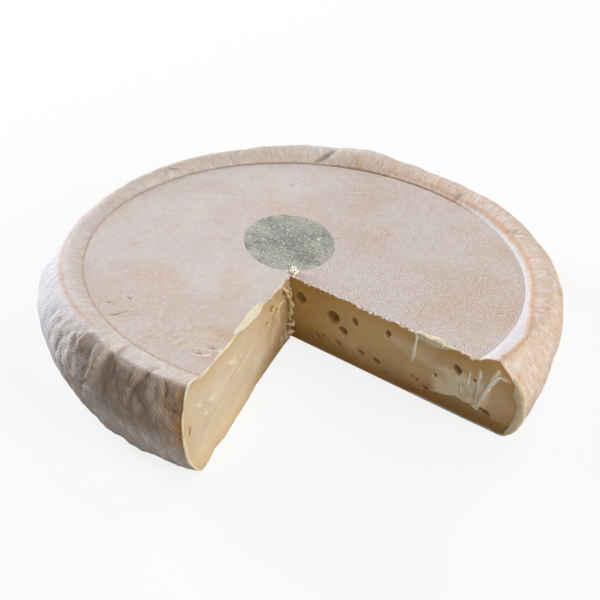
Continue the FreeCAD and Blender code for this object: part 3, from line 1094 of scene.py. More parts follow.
    def ragged(self, points: Array) -> Array:
        """The two ends of a row of the top, torn a little by the knife.

        Args:
            points: one row of the pressed round.

        Returns:
            The row with its end points moved out and up or down at random.
        """
        moved = points.copy()
        for edge, much in ((self.right, 0.30), (self.left, 0.12)):
            end = points[edge.column]
            out = np.array([math.hypot(end[0] - self.wheel.cut_x,
                                       end[1] - self.wheel.cut_y)])
            push = self.relief.fine.layers(out, 0 * out, 3.3 + much, 1.3, 2)[0]
            lift = self.relief.fine.layers(out, 0 * out, 8.3 + much, 0.9, 2)[0]
            moved[edge.column] += edge.normal() * abs(push) * much
            moved[edge.column, 2] += lift * much * 0.5
        return moved

    def close(self, above: Array, rings: Iterable[tuple[Array, dict[str, Array]]],
              pole: Array, torn: bool) -> tuple[list[Array], list[Array]]:
        """Fills from a rim to the corner of the cut with rows that shrink.

        Args:
            above: indices of the rim.
            rings: points and marks of each row, outermost first.
            pole: the corner's own point, (1, 3).
            torn: whether the knife tore the rows' ends.

        Returns:
            Points and indices of each row, innermost first, from the corner's own.
        """
        rows, indices = [], []
        for row, marks in rings:
            index = self.add(self.ragged(row) if torn else row, **marks)
            self.skin.bridge(above, index)
            rows.append(row)
            indices.append(index)
            above = index
        index = self.add(pole)
        self.skin.fan(above, int(index[0]))
        return [pole, *rows[::-1]], [index, *indices[::-1]]

    def top(self, rim: Array, rim_index: Array) -> tuple[list[Array], list[Array]]:
        """The pressed round: corner + t (rim - corner), with its relief.

        Args:
            rim: the heel's first row of points.
            rim_index: its indices.

        Returns:
            Points and indices of each row, as close gives them.
        """
        self.skin.material = 0
        corner = self.wheel.corner()
        rings = []
        for k, (count, start, end) in enumerate(self.top_zones):
            for t in np.linspace(start, end, count, endpoint=False) + (end - start) / count:
                row = corner + t * (rim[::2 ** k] - corner)
                lift, marks = self.rind.top(row[:, 0], row[:, 1])
                row[:, 2] = self.wheel.plane(row[:, 0], row[:, 1]) + lift
                rings.append((row, marks))
        lift, _ = self.rind.top(corner[:1], corner[1:2])
        pole = (corner + np.array([0, 0, lift[0]]))[None]
        return self.close(rim_index, rings, pole, True)

    def base(self, foot: Array, foot_index: Array, reach: Array
             ) -> tuple[list[Array], list[Array]]:
        """The flat underside: corner + t (foot - corner).

        Args:
            foot: the heel's last row of points.
            foot_index: its indices.
            reach: the shares t, outermost first.

        Returns:
            Points and indices of each row, as close gives them.
        """
        self.skin.material = 1
        corner = self.wheel.corner(0.0)
        rings = []
        for k, t in enumerate(reach):
            skip = self.base_skips[min(k, len(self.base_skips) - 1)]
            row = corner + t * (foot[::skip] - corner)
            rings.append((row, {"arc": row[:, 0], "run": row[:, 1] + self.base_run}))
        return self.close(foot_index, rings, corner[None], False)

    def cut(self, edge: CutEdge, lines: Sequence[Array], corner_line: Array,
            form: Callable[[Array, Array], tuple[Array, Array]]) -> None:
        """One cut face: rows between its upper and lower outline, with its relief.

        Args:
            edge: the cut.
            lines: upper points and indices, then lower points and indices.
            corner_line: indices down the edge that both cuts share.
            form: the relief of this face.
        """
        upper, upper_index, lower, lower_index = lines
        edge.upper, edge.lower = self.warp(upper), self.warp(lower)
        count = len(upper) - 1
        columns = np.arange(0, count - 0.75, 0.5) if edge.fine else np.arange(count)
        nodes = np.arange(count + 1)
        high, low = (np.stack([np.interp(columns, nodes, line[:, k]) for k in range(3)], -1)
                     for line in (upper, lower))
        share = np.linspace(0, 1, self.cut_rows + 1)[1:-1, None, None]
        points = (high + share * (low - high))[:, 1:]
        way, normal = edge.way(), edge.normal()
        corner = self.wheel.corner(0.0)
        out, up = (points - corner) @ way, points[..., 2]
        new_out, new_up, height, hollow = self.relief.eyes(out, up, edge.eyes)
        ceiling = np.broadcast_to(high[1:, 2], out.shape)
        floor = np.broadcast_to(low[1:, 2], out.shape)
        rough, torn = form(out, up)
        fade = (ease(ceiling - up, 0.0, 0.5) * ease(up - floor, 0.0, 0.4)
                * ease(out, 0.0, 0.7))
        height = (height + rough * (1 - hollow)) * fade
        outline = np.vstack([upper[1:], lower[-2:0:-1]])
        flat = np.stack([(outline - corner) @ way, outline[:, 2]], -1)
        under, _, _ = along_path(new_out, new_up, flat)
        points = (points + (new_out - out)[..., None] * way + height[..., None] * normal)
        points[..., 2] += new_up - up
        inner = self.add(points, under=under, hollow=hollow * fade, torn=torn * fade)
        inner = np.hstack([corner_line[1:-1, None], inner])
        tip = int(upper_index[-1])
        self.skin.grid(inner)
        self.skin.bridge(inner[0], upper_index[:-1])
        self.skin.bridge(inner[-1], lower_index[:-1])
        last = np.concatenate([upper_index[-2:-1], inner[:, -1], lower_index[-2:-1]])
        self.skin.fan(last, tip)

    def build(self, materials: Sequence[Material]) -> Piece:
        """Builds the whole body.

        Args:
            materials: pressed round, heel, first cut, second cut.

        Returns:
            The piece.
        """
        heel, heel_index = self.heel()
        top, top_index = self.top(heel[0], heel_index[0])
        belly = sum(band.value for band in Band) - Band.TUCK.value
        corner = self.wheel.corner(0.0)
        way = self.right.way()
        upper_out = np.array([(row[0] - corner) @ way for row in [*top, *heel[:belly + 1]]])
        count = len(upper_out) - 1 - Band.TUCK.value
        foot_out = (heel[-1, 0] - corner) @ way
        even = np.convolve(np.pad(upper_out, 5, "edge"), np.ones(11) / 11, "valid")
        base, base_index = self.base(heel[-1], heel_index[-1],
                                     even[count - 1:0:-1] / foot_out)
        share = np.linspace(0, 1, self.cut_rows + 1)[1:-1, None]
        middle = self.add(top[0][0] + share * (base[0][0] - top[0][0]))
        corner_line = np.concatenate([top_index[0][:1], middle, base_index[0][:1]])
        for material, edge, form in ((2, self.right, self.relief.right),
                                     (3, self.left, self.relief.left)):
            self.skin.material = material
            end = edge.column
            lines = []
            for inward, inward_index, rows in ((top, top_index, slice(0, belly + 1)),
                                               (base, base_index, slice(None, belly - 1, -1))):
                lines.append(np.array([*(row[end] for row in inward), *heel[rows, end]]))
                lines.append(np.array([*(row[end] for row in inward_index),
                                       *heel_index[rows, end]]))
            self.cut(edge, lines, corner_line, form)
        return self.skin.build("cheese_body", materials,
                               (("x", "y"), ("arc", "run"), ("out", "up"), ("out", "up")))


# ---------------------------------------------------------------- mark and trimmings

@dataclass
class CaseinMark:
    """The oval casein disc, flush with the rind that grew round it."""

    wheel: Wheel
    rind: RindRelief
    x: float = -7.9
    y: float = 3.4
    length: float = 32.6
    width: float = 27.0
    azimuth: float = 131.0
    thickness: float = 0.8
    proud: float = 0.07
    dip: float = 0.13
    rings: int = 40
    sides: int = 160

    def surface(self, share: Array, sink: float) -> Array:
        """Oval rings that follow the rind, with rise = 0.07 - 0.13 share^8.

        The upper side so stands 0.07 mm proud in the middle and dips 0.06 mm under the
        rind at the rim.

        Args:
            share: share of the way out of each ring, (rings, 1).
            sink: millimetres that they lie lower.

        Returns:
            Points (rings, sides, 3).
        """
        around = np.linspace(0, 2 * math.pi, self.sides, endpoint=False)
        turn = math.radians(self.azimuth)
        a = share * np.cos(around) * self.length / 2
        b = share * np.sin(around) * self.width / 2
        x = self.x + a * math.cos(turn) - b * math.sin(turn)
        y = self.y + a * math.sin(turn) + b * math.cos(turn)
        lift, _ = self.rind.top(x, y)
        z = self.wheel.plane(x, y) + lift + (self.proud - self.dip * share ** 8) - sink
        return np.stack(np.broadcast_arrays(x, y, z), -1)

    def build(self, material: Material) -> Piece:
        """Builds a closed oval lens: rings out over the top and one ring below.

        Args:
            material: its finish.

        Returns:
            The piece.
        """
        skin = Skin(("x", "y", "q"))

        def added(points: Array, q: Array | float = 0.0) -> Array:
            """Indices of points added with their places and their share of the way out."""
            return skin.add(points, x=points[..., 0], y=points[..., 1], q=q)

        q = np.linspace(0, 1, self.rings + 1)[1:, None] ** 0.8
        top = added(self.surface(q, 0.0), q)
        below = added(self.surface(q[-1:] * 0.985, self.thickness), 1.0)
        middle = np.zeros((1, 1))
        poles = [added(self.surface(middle, sink)[:, :1]) for sink in (0.0, self.thickness)]
        skin.tube(np.vstack([top, below]), np.ravel(poles))
        return skin.build("casein_mark", [material], (("x", "y"),))


@dataclass(frozen=True, eq=False)
class Strand:
    """A lip, string or shred: a rounded strip that runs along a path.

    The strip's section is an ellipse, wide by tall, that swells and shrinks at random
    along the way, every pace millimetres, and ends in a point at both ends.
    """

    points: Array
    wide: float
    tall: float
    rough: float
    across: Array | Triple
    seed: int
    pace: float = 1.2
    sides: int = 10
    step: float = 0.35

    def add_to(self, skin: Skin) -> None:
        """Adds the closed strip to a skin.

        Point(t, a) = path(t) + wide(t) cos(a) across + tall(t) sin(a) lift, where lift
        is at right angles to the path and to across. No point lies below the floor.

        Args:
            skin: the skin that takes it.
        """
        lengths = np.linalg.norm(np.diff(self.points, axis=0), axis=1)
        passed = np.concatenate([[0], np.cumsum(lengths)])
        at = np.linspace(0, passed[-1], max(6, int(passed[-1] / self.step)))
        path = np.stack([np.interp(at, passed, self.points[:, k]) for k in range(3)], -1)
        blur = np.array([1, 2, 3, 2, 1]) / 9
        padded = np.pad(path, ((2, 2), (0, 0)), "edge")
        path = np.stack([np.convolve(padded[:, k], blur, "valid") for k in range(3)], -1)
        random = Lattice(100 + self.seed)
        swell = random.layers(at, 0 * at, 0.5, self.pace, 3)
        sway = random.layers(at, 0 * at, 5.5, self.pace * 1.6, 2)
        taper = np.clip(np.sin(math.pi * (0.01 + 0.98 * at / passed[-1])), 0, 1) ** 0.45
        size = taper * np.clip(1 + self.rough * swell, 0.12, 2.2)
        way = np.gradient(path, axis=0)
        way /= np.linalg.norm(way, axis=1, keepdims=True)
        across = np.array(self.across, float)
        across = across - (way @ across)[:, None] * way
        across /= np.linalg.norm(across, axis=1, keepdims=True)
        lift = np.cross(way, across)
        a = np.linspace(0, 2 * math.pi, self.sides, endpoint=False)
        lump = 1 + 0.18 * self.rough * random.at(at[:, None] / 0.8, np.cos(a) * 1.5,
                                                 np.sin(a) * 1.5)
        ring = (path + across * (sway * self.rough * self.wide * 1.1)[:, None])[:, None]
        for much, turn, side in ((self.wide, np.cos(a), across), (self.tall, np.sin(a), lift)):
            ring = ring + ((size * much)[:, None, None] * lump[..., None]
                           * turn[None, :, None] * side[:, None])
        floor = 0.05
        ring[..., 2] = np.maximum(ring[..., 2], floor)
        index = skin.add(ring)
        skin.tube(index, skin.add(ring[[0, -1]].mean(1)))


@dataclass(frozen=True)
class Hanging:
    """A strip of paste on a cut face: nodes (out, up, lift) and the sizes of a strand."""

    nodes: tuple[Triple, ...]
    wide: float
    tall: float
    rough: float


# Wet strings on the first cut, and the ridges of its torn place.
STRINGS = (
    Hanging(((38.2, 19.9, 0.3), (38.3, 17.5, 0.5), (38.1, 14.5, 0.5), (37.8, 12.0, 0.35),
             (37.4, 10.0, 0.0)), 0.40, 0.34, 0.25),
    Hanging(((38.2, 19.9, 0.2), (37.2, 19.7, 0.3), (35.8, 19.9, 0.1)), 0.35, 0.3, 0.3),
    Hanging(((62.4, 17.2, 0.0), (60.2, 17.6, 0.3), (58.8, 14.8, 0.7), (57.2, 10.6, 0.8),
             (55.6, 5.4, 0.1)), 0.42, 0.46, 0.3),
    Hanging(((55.4, 16.8, 0.1), (55.6, 12.0, 0.6), (55.3, 7.0, 0.2)), 0.30, 0.36, 0.4),
    Hanging(((53.1, 15.2, 0.0), (52.8, 11.5, 0.4), (52.4, 8.4, 0.1)), 0.26, 0.30, 0.5),
    Hanging(((50.6, 11.8, 0.0), (51.6, 9.0, 0.4), (51.2, 6.8, 0.1)), 0.26, 0.30, 0.5),
)
# Lumpy drips and torn shreds on the second cut, by the corner.
DRIPS = (
    Hanging(((4.6, 19.3, 0.0), (3.6, 17.6, 0.3), (2.8, 15.8, 0.6), (2.0, 14.2, 0.9),
             (1.6, 12.8, 1.0)), 0.80, 0.50, 0.6),
    Hanging(((8.6, 15.3, 0.0), (6.2, 15.9, 0.1), (3.8, 15.2, 0.4)), 0.55, 0.30, 0.5),
    Hanging(((1.0, 19.2, 0.1), (0.8, 16.0, 0.4), (1.0, 12.8, 0.7), (0.8, 9.0, 0.4),
             (0.7, 5.0, 0.1)), 0.75, 0.45, 0.7),
    Hanging(((3.0, 6.0, 0.0), (1.6, 6.0, 0.8), (0.4, 6.6, 1.6)), 0.65, 0.40, 1.2),
    Hanging(((3.6, 2.8, 0.0), (2.2, 2.6, 0.8), (0.9, 3.2, 1.4)), 0.75, 0.45, 1.3),
    Hanging(((4.8, 3.4, 0.0), (3.4, 1.8, 0.5), (1.8, 1.3, 0.9)), 0.65, 0.40, 1.3),
)


# Crumbs at the corner: their places from it, and their radii.
CRUMBS = ((-0.6, 2.3, 0.35, 0.75), (0.5, 2.0, 0.30, 0.60), (-1.6, 0.9, 0.1, 0.40),
          (0.9, 0.9, 0.2, 0.45), (-0.2, 1.1, 0.5, 0.5))


@dataclass
class Trimmings:
    """What the knife left along its cuts: lips of paste, shreds of rind, strings."""

    cheese: CutWheel
    shred_end: float = 55.0
    shred_length: tuple[float, float] = (1.6, 5.0)
    crumb_count: int = 26
    crumb_run: tuple[float, float] = (1.0, 54.0)
    crumb_size: tuple[float, float] = (0.12, 0.26)

    def on_face(self, edge: CutEdge, out: Array | float, up: Array | float,
                lift: float = 0.0) -> Array:
        """Points on a cut face: corner + out times way + lift times normal + up.

        Args:
            edge: the cut.
            out: distance from the corner, or one for each point.
            up: height, or one for each point.
            lift: distance out of the face.

        Returns:
            One point (3) or a row of them.
        """
        return (self.cheese.wheel.corner(0.0) + np.multiply.outer(out, edge.way())
                + lift * edge.normal() + np.multiply.outer(up, (0, 0, 1)))

    def on_line(self, edge: CutEdge, low: float, high: float, lift: float, rise: float,
                step: float = 0.8) -> Array:
        """Path along the upper outline of a cut, between two distances out.

        Args:
            edge: the cut.
            low, high: distances from the corner.
            lift: distance out of the face.
            rise: height above the outline.
            step: distance between two points.

        Returns:
            The path's points.
        """
        out = (edge.upper - self.cheese.wheel.corner(0.0)) @ edge.way()
        wanted = np.arange(low, high + step / 2, step)
        return self.on_face(edge, wanted, np.interp(wanted, out, edge.upper[:, 2]) + rise,
                            lift)

    def heel_line(self, edge: CutEdge, first: int, last: int, lift: float,
                  out: float) -> Array:
        """Path down the heel's outline at a cut, from one row of it to another.

        Args:
            edge: the cut.
            first, last: rows of the heel.
            lift: distance out of the face.
            out: distance beyond the outline, along the cut.

        Returns:
            The path's points, one for every second row.
        """
        rows = np.vstack([edge.upper, edge.lower[::-1]])
        start = len(edge.upper) - sum(b.value for b in Band) + Band.TUCK.value - 1
        return rows[start + first:start + last:2] + lift * edge.normal() + out * edge.way()

    def gather(self, name: str, material: Material, strands: Iterable[Strand]) -> Piece:
        """Makes one piece of strands.

        Args:
            name: the piece's name.
            material: its finish.
            strands: what it is made of.

        Returns:
            The piece.
        """
        skin = Skin(())
        for strand in strands:
            strand.add_to(skin)
        return skin.build(name, [material], smooth_under=SOFT_EDGE)

    def lips(self, material: Material) -> Piece:
        """Cream paste dragged over the edges of the cuts.

        Args:
            material: its finish.

        Returns:
            The piece.
        """
        right, left = self.cheese.right, self.cheese.left
        back, inward, up = -right.normal(), -left.normal(), (0, 0, 1)
        line, heel = self.on_line, self.heel_line
        return self.gather("paste_lips", material, (
            Strand(line(right, 37.2, 46.8, 0.14, -0.75), 1.05, 0.26, 0.35, up, 1, 3.0),
            Strand(line(right, 38.0, 46.0, -0.3, 0.05), 0.75, 0.22, 0.35, back, 10, 2.0),
            Strand(line(right, 42.5, 49.0, 0.05, -0.02), 0.45, 0.28, 0.6, back, 2),
            Strand(line(right, 50.5, 55.5, 0.05, -0.05), 0.30, 0.25, 0.6, back, 3),
            Strand(line(left, 14.5, 30.5, -0.55, 0.10), 1.15, 0.24, 0.22, inward, 4, 5.0),
            Strand(line(left, 29.5, 44.0, 0.0, 0.0), 0.35, 0.18, 0.3, inward, 5, 3.0),
            Strand(line(left, 43.0, 54.0, 0.0, 0.0), 0.40, 0.18, 0.3, inward, 6, 3.0),
            Strand(heel(left, 6, 38, 0.06, -0.15), 0.42, 0.28, 0.2, up, 7, 4.0),
            Strand(heel(left, 34, 68, 0.06, -0.1), 0.50, 0.32, 0.2, up, 8, 4.0),
            Strand(heel(right, 31, 64, -0.42, -0.6), 1.6, 0.52, 0.22, (0.87, 0.0, -0.5),
                   9, 4.0)))

    def shreds(self, material: Material) -> Piece:
        """White shreds of rind along the upper edges of the cuts.

        Args:
            material: their finish.

        Returns:
            The piece.
        """
        right, left = self.cheese.right, self.cheese.left
        back, inward = -right.normal(), -left.normal()
        draw = np.random.default_rng(77)
        strands, start = [], 1.0
        while start < self.shred_end:
            length = float(draw.uniform(*self.shred_length))
            path = self.on_line(right, start, min(start + length, self.shred_end + 1), 0.12,
                                float(draw.uniform(-0.25, 0.05)), step=0.5)
            if len(path) > 2:
                strands.append(Strand(path, 0.34, 0.18, 1.1, back, int(start * 10), 0.7,
                                      sides=8, step=0.25))
            start += length + float(draw.uniform(-0.6, 0.8))
        for low, high, seed in ((1.0, 14.0, 31), (44.0, 53.0, 32)):
            strands.append(Strand(self.on_line(left, low, high, 0.05, 0.0), 0.25, 0.15,
                                  0.9, inward, seed, 0.8))
        return self.gather("rind_shreds", material, strands)

    def hanging(self, name: str, edge: CutEdge, hangings: Sequence[Hanging],
                material: Material) -> Piece:
        """Strips of paste that hang on a cut face.

        Args:
            name: the piece's name.
            edge: the cut.
            hangings: what hangs there.
            material: their finish.

        Returns:
            The piece.
        """
        side = self.cheese.right.way()
        return self.gather(name, material, (
            Strand(np.array([self.on_face(edge, *node) for node in strip.nodes]),
                   strip.wide, strip.tall, strip.rough, side, seed=3 * k)
            for k, strip in enumerate(hangings)))

    def crumbs(self, material: Material) -> Piece:
        """Small crumbs at the corner of the cut and along the first cut's edge.

        Each is a ball, radius times (1 + 0.4 noise).

        Args:
            material: their finish.

        Returns:
            The piece.
        """
        skin = Skin(())
        corner = self.cheese.wheel.corner()
        places = list(CRUMBS)
        draw = np.random.default_rng(9)
        for _ in range(self.crumb_count):
            out = float(draw.uniform(*self.crumb_run))
            point = self.on_line(self.cheese.right, out, out, 0.1, 0.05)[0]
            places.append((*(point - corner), float(draw.uniform(*self.crumb_size))))
        a = np.linspace(0, 2 * math.pi, 12, endpoint=False)
        b = np.linspace(0, math.pi, 9)[1:-1, None]
        ball = np.stack(np.broadcast_arrays(np.sin(b) * np.cos(a), np.sin(b) * np.sin(a),
                                            np.cos(b)), -1)
        ends = np.array([[0, 0, 1.0], [0, 0, -1.0]])
        for k, (*place, size) in enumerate(places):
            lump = 1 + 0.4 * Lattice(200 + k).at(*(1.6 * ball[..., i] for i in range(3)))
            centre = corner + np.array(place)
            index = skin.add(centre + size * ball * lump[..., None])
            skin.tube(index, skin.add(centre + size * ends))
        return skin.build("paste_crumbs", [material], smooth_under=SOFT_EDGE)


# ---------------------------------------------------------------- finishes

def add(tree: Tree, kind: str, inputs: dict | None = None, **settings: object
        ) -> bpy.types.Node:
    """Adds one shader node with its settings, values and links.

    Args:
        tree: the material's nodes.
        kind: the node's type, without its ShaderNode prefix.
        inputs: for each input name or number, a value or the socket it comes from.
        settings: the node's own properties.

    Returns:
        The node.
    """
    node = tree.nodes.new("ShaderNode" + kind)
    for name, value in settings.items():
        setattr(node, name, value)
    for key, value in (inputs or {}).items():
        if isinstance(value, Socket):
            tree.links.new(value, node.inputs[key])
        else:
            node.inputs[key].default_value = value
    return node


class Source(Enum):
    """What a field's value comes from, with the node's type where one node gives it."""

    NOISE = "TexNoise"
    CELLS = "TexVoronoi"
    THREADS = "weave"
    MARK = "mark"


@dataclass(frozen=True)
class Field:
    """A number at each point of a surface.

    size is the pattern's real size in millimetres, stretch multiplies its rate along
    each axis, and shift moves it. Noise and cells have the values of their nodes.
    Threads are the print of a plain weave, and a mark is read from the mesh as
    (value - shift), or as the absolute of that.
    """

    source: Source
    size: float = 1.0
    stretch: Triple = (1.0, 1.0, 1.0)
    detail: float = 2.0
    name: str = ""
    shift: float = 0.0
    absolute: bool = False

    def read(self, tree: Tree) -> Socket:
        """Adds the nodes that read a mark from the mesh.

        Args:
            tree: the material's nodes.

        Returns:
            The value's socket.
        """
        value = add(tree, "Attribute", attribute_name=self.name).outputs["Fac"]
        if self.shift:
            value = add(tree, "Math", {0: value, 1: self.shift},
                        operation="SUBTRACT").outputs[0]
        if self.absolute:
            value = add(tree, "Math", {0: value}, operation="ABSOLUTE").outputs[0]
        return value

    def weave(self, tree: Tree, moved: Socket) -> Socket:
        """Adds a weave's nodes: 0.5 + 0.5 sin(x) sin(y), at places bent by a noise.

        It is 1 on the knots of the cloth and 0 in its holes, with one turn of each sine
        to a unit of the place.

        Args:
            tree: the material's nodes.
            moved: places in units of the pattern's size.

        Returns:
            The value's socket.
        """
        wander = add(tree, "TexNoise", {"Vector": moved, "Scale": 0.3, "Detail": 3.0})
        bent = add(tree, "VectorMath", {0: wander.outputs["Color"], 1: (2.6, 2.6, 0),
                                        2: moved}, operation="MULTIPLY_ADD")
        along = add(tree, "SeparateXYZ", {0: bent.outputs[0]}).outputs
        waves = []
        for axis in (0, 1):
            turned = add(tree, "Math", {0: along[axis], 1: 2 * math.pi},
                         operation="MULTIPLY").outputs[0]
            waves.append(add(tree, "Math", {0: turned}, operation="SINE").outputs[0])
        knots = add(tree, "Math", {0: waves[0], 1: waves[1]}, operation="MULTIPLY")
        return add(tree, "Math", {0: knots.outputs[0], 1: 0.5, 2: 0.5},
                   operation="MULTIPLY_ADD").outputs[0]

    def socket(self, tree: Tree, place: Socket) -> Socket:
        """Adds the field's nodes.

        Args:
            tree: the material's nodes.
            place: coordinates in metres.

        Returns:
            The value's socket.
        """
        if self.source is Source.MARK:
            return self.read(tree)
        rate = tuple(s / (self.size * MM) for s in self.stretch)
        moved = add(tree, "Mapping", {"Vector": place, "Scale": rate,
                                      "Location": (self.shift,) * 3}).outputs[0]
        if self.source is Source.CELLS:
            return add(tree, self.source.value, {"Vector": moved, "Scale": 1.0,
                                                 "Randomness": 0.8}).outputs["Distance"]
        if self.source is Source.THREADS:
            return self.weave(tree, moved)
        return add(tree, self.source.value, {"Vector": moved, "Scale": 1.0,
                                             "Detail": self.detail}).outputs["Fac"]


@dataclass(frozen=True)
class Layer:
    """A colour over those below it, from none at low to amount at high of a field.

    jitter is the size in millimetres and the height of a noise added to the field,
    which breaks up its edge, and gate is a second field that has to be high too.
    """

    colour: str
    field: Field
    low: float
    high: float
    amount: float = 1.0
    jitter: tuple[float, float] = (0.0, 0.0)
    gate: Field | None = None
    gate_low: float = 0.0
    gate_high: float = 1.0


@dataclass(frozen=True)
class Bump:
    """A relief too fine for the mesh: height in millimetres over a field's range."""

    field: Field
    height: float
    low: float = 0.0
    high: float = 1.0


@dataclass(frozen=True)
class Finish:
    """One finish: what it is, its colours from the base up, its gloss and its depth.

    scatter is how far red, green and blue light travel inside, in millimetres, and
    depth the share that does. on_surface lays the patterns on the UV map. gloss is the
    size of a noise and the two roughnesses that it runs between.
    """

    name: str
    base: str
    layers: tuple[Layer, ...]
    bumps: tuple[Bump, ...]
    roughness: float
    scatter: Triple
    depth: float
    on_surface: bool = False
    ior: float = 1.42
    gloss: Triple | None = None

    def colour(self, tree: Tree, place: Socket) -> Socket:
        """Mixes the layers over the base, the first one lowest.

        Args:
            tree: the material's nodes.
            place: coordinates in metres.

        Returns:
            The colour's socket.
        """
        colour: Socket | Colour = linear(self.base)
        for layer in self.layers:
            value = layer.field.socket(tree, place)
            size, height = layer.jitter
            if height:
                grain = Field(Source.NOISE, size, shift=3.1).socket(tree, place)
                value = add(tree, "Math", {0: grain, 1: height, 2: value},
                            operation="MULTIPLY_ADD").outputs[0]
            factor = add(tree, "MapRange", {
                "Value": value, "From Min": layer.low + height / 2,
                "From Max": layer.high + height / 2, "To Max": layer.amount,
            }, interpolation_type="SMOOTHSTEP").outputs[0]
            if layer.gate:
                gate = add(tree, "MapRange", {
                    "Value": layer.gate.socket(tree, place),
                    "From Min": layer.gate_low, "From Max": layer.gate_high,
                }, interpolation_type="SMOOTHSTEP").outputs[0]
                factor = add(tree, "Math", {0: factor, 1: gate},
                             operation="MULTIPLY").outputs[0]
            colour = add(tree, "Mix", {0: factor, 6: colour, 7: linear(layer.colour)},
                         data_type="RGBA").outputs[2]
        return colour

    def relief(self, tree: Tree, place: Socket) -> Socket:
        """Adds the bumps' heights together.

        Args:
            tree: the material's nodes.
            place: coordinates in metres.

        Returns:
            The socket of the bent normal.
        """
        total: Socket | float = 0.0
        for bump in self.bumps:
            shape = add(tree, "MapRange", {
                "Value": bump.field.socket(tree, place), "From Min": bump.low,
                "From Max": bump.high}).outputs[0]
            total = add(tree, "Math", {0: shape, 1: bump.height, 2: total},
                        operation="MULTIPLY_ADD").outputs[0]
        return add(tree, "Bump", {"Height": total, "Strength": 1.0,
                                  "Distance": MM}).outputs[0]

    def make(self) -> Material:
        """Builds the material: a scattering body with its colour, relief and gloss.

        Returns:
            The material.
        """
        material = bpy.data.materials.new(self.name)
        material.use_nodes = True
        tree = material.node_tree
        tree.nodes.clear()
        place = add(tree, "TexCoord").outputs["UV" if self.on_surface else "Object"]
        shader = add(tree, "BsdfPrincipled", {
            "Base Color": self.colour(tree, place), "Roughness": self.roughness,
            "IOR": self.ior, "Subsurface Weight": self.depth,
            "Subsurface Radius": self.scatter, "Subsurface Scale": MM,
            "Normal": self.relief(tree, place)})
        if self.gloss:
            size, low, high = self.gloss
            value = Field(Source.NOISE, size, shift=8.0).socket(tree, place)
            rough = add(tree, "MapRange", {"Value": value, "From Min": 0.35,
                                           "From Max": 0.65, "To Min": low,
                                           "To Max": high}).outputs[0]
            tree.links.new(rough, shader.inputs["Roughness"])
        add(tree, "OutputMaterial", {0: shader.outputs[0]})
        return material


def noise(size: float, stretch: Triple = (1.0, 1.0, 1.0), detail: float = 2.0,
          shift: float = 0.0) -> Field:
    """Random field of a size in millimetres."""
    return Field(Source.NOISE, size, stretch, detail, shift=shift)


def mark(name: str, shift: float = 0.0, absolute: bool = False) -> Field:
    """Field read from the mesh."""
    return Field(Source.MARK, name=name, shift=shift, absolute=absolute)


# The holes of the cloth lie about 0.6 mm apart, which is 0.85 mm along each axis.
THREAD = 0.85


def threads(stretch: Triple = (1.0, 1.0, 1.0)) -> Field:
    """Print of the cheese cloth: 1 on the knots of its threads, 0 in its holes."""
    return Field(Source.THREADS, THREAD, stretch)


# Washed rind under a dusting of white bloom, pressed flat in cloth: matt and pale, its
# tan skin showing through the bloom in the holes of the weave.
PRESSED_RIND = Finish(
    "washed_rind_pressed_in_cloth", "D8CFCB",
    (
        Layer("D3C3B8", noise(26.0, shift=1.7), 0.42, 0.62, 0.8),
        Layer("D6BCA7", noise(12.0, (1.0, 0.6, 1.0), 5.0), 0.50, 0.70, 0.55),
        Layer("D0B198", noise(2.8, (1.0, 0.7, 1.0), 4.0, 5.0), 0.54, 0.72, 0.35),
        Layer("E8E3E0", noise(1.1, detail=4.0, shift=2.0), 0.50, 0.68, 0.40),
        Layer("9A765E", threads(), 0.36, 0.04, 0.95, (1.4, 0.4), mark("cloth")),
        Layer("9D7C66", Field(Source.CELLS, 0.8), 0.24, 0.06, 0.8,
              gate=mark("cloth"), gate_low=0.3),
        Layer("DCCDB9", mark("peel"), 0.2, 0.9, 0.7, (0.8, 0.5)),
        Layer("D0A886", mark("stain"), 0.1, 0.9, 0.45, (2.0, 0.6)),
        Layer("EFEAE6", mark("halo"), 0.3, 0.9, 0.8),
        Layer("94796A", mark("pit"), 0.25, 0.95, 0.8),
        Layer("C79B74", mark("ring"), -0.30, 0.0, 0.35, (1.2, 0.3)),
    ),
    (
        Bump(threads(), 0.06),
        Bump(noise(0.4, detail=3.0, shift=4.0), 0.10),
        Bump(noise(1.7, detail=4.0), 0.20),
    ),
    0.82, (0.5, 0.35, 0.25), 0.15)

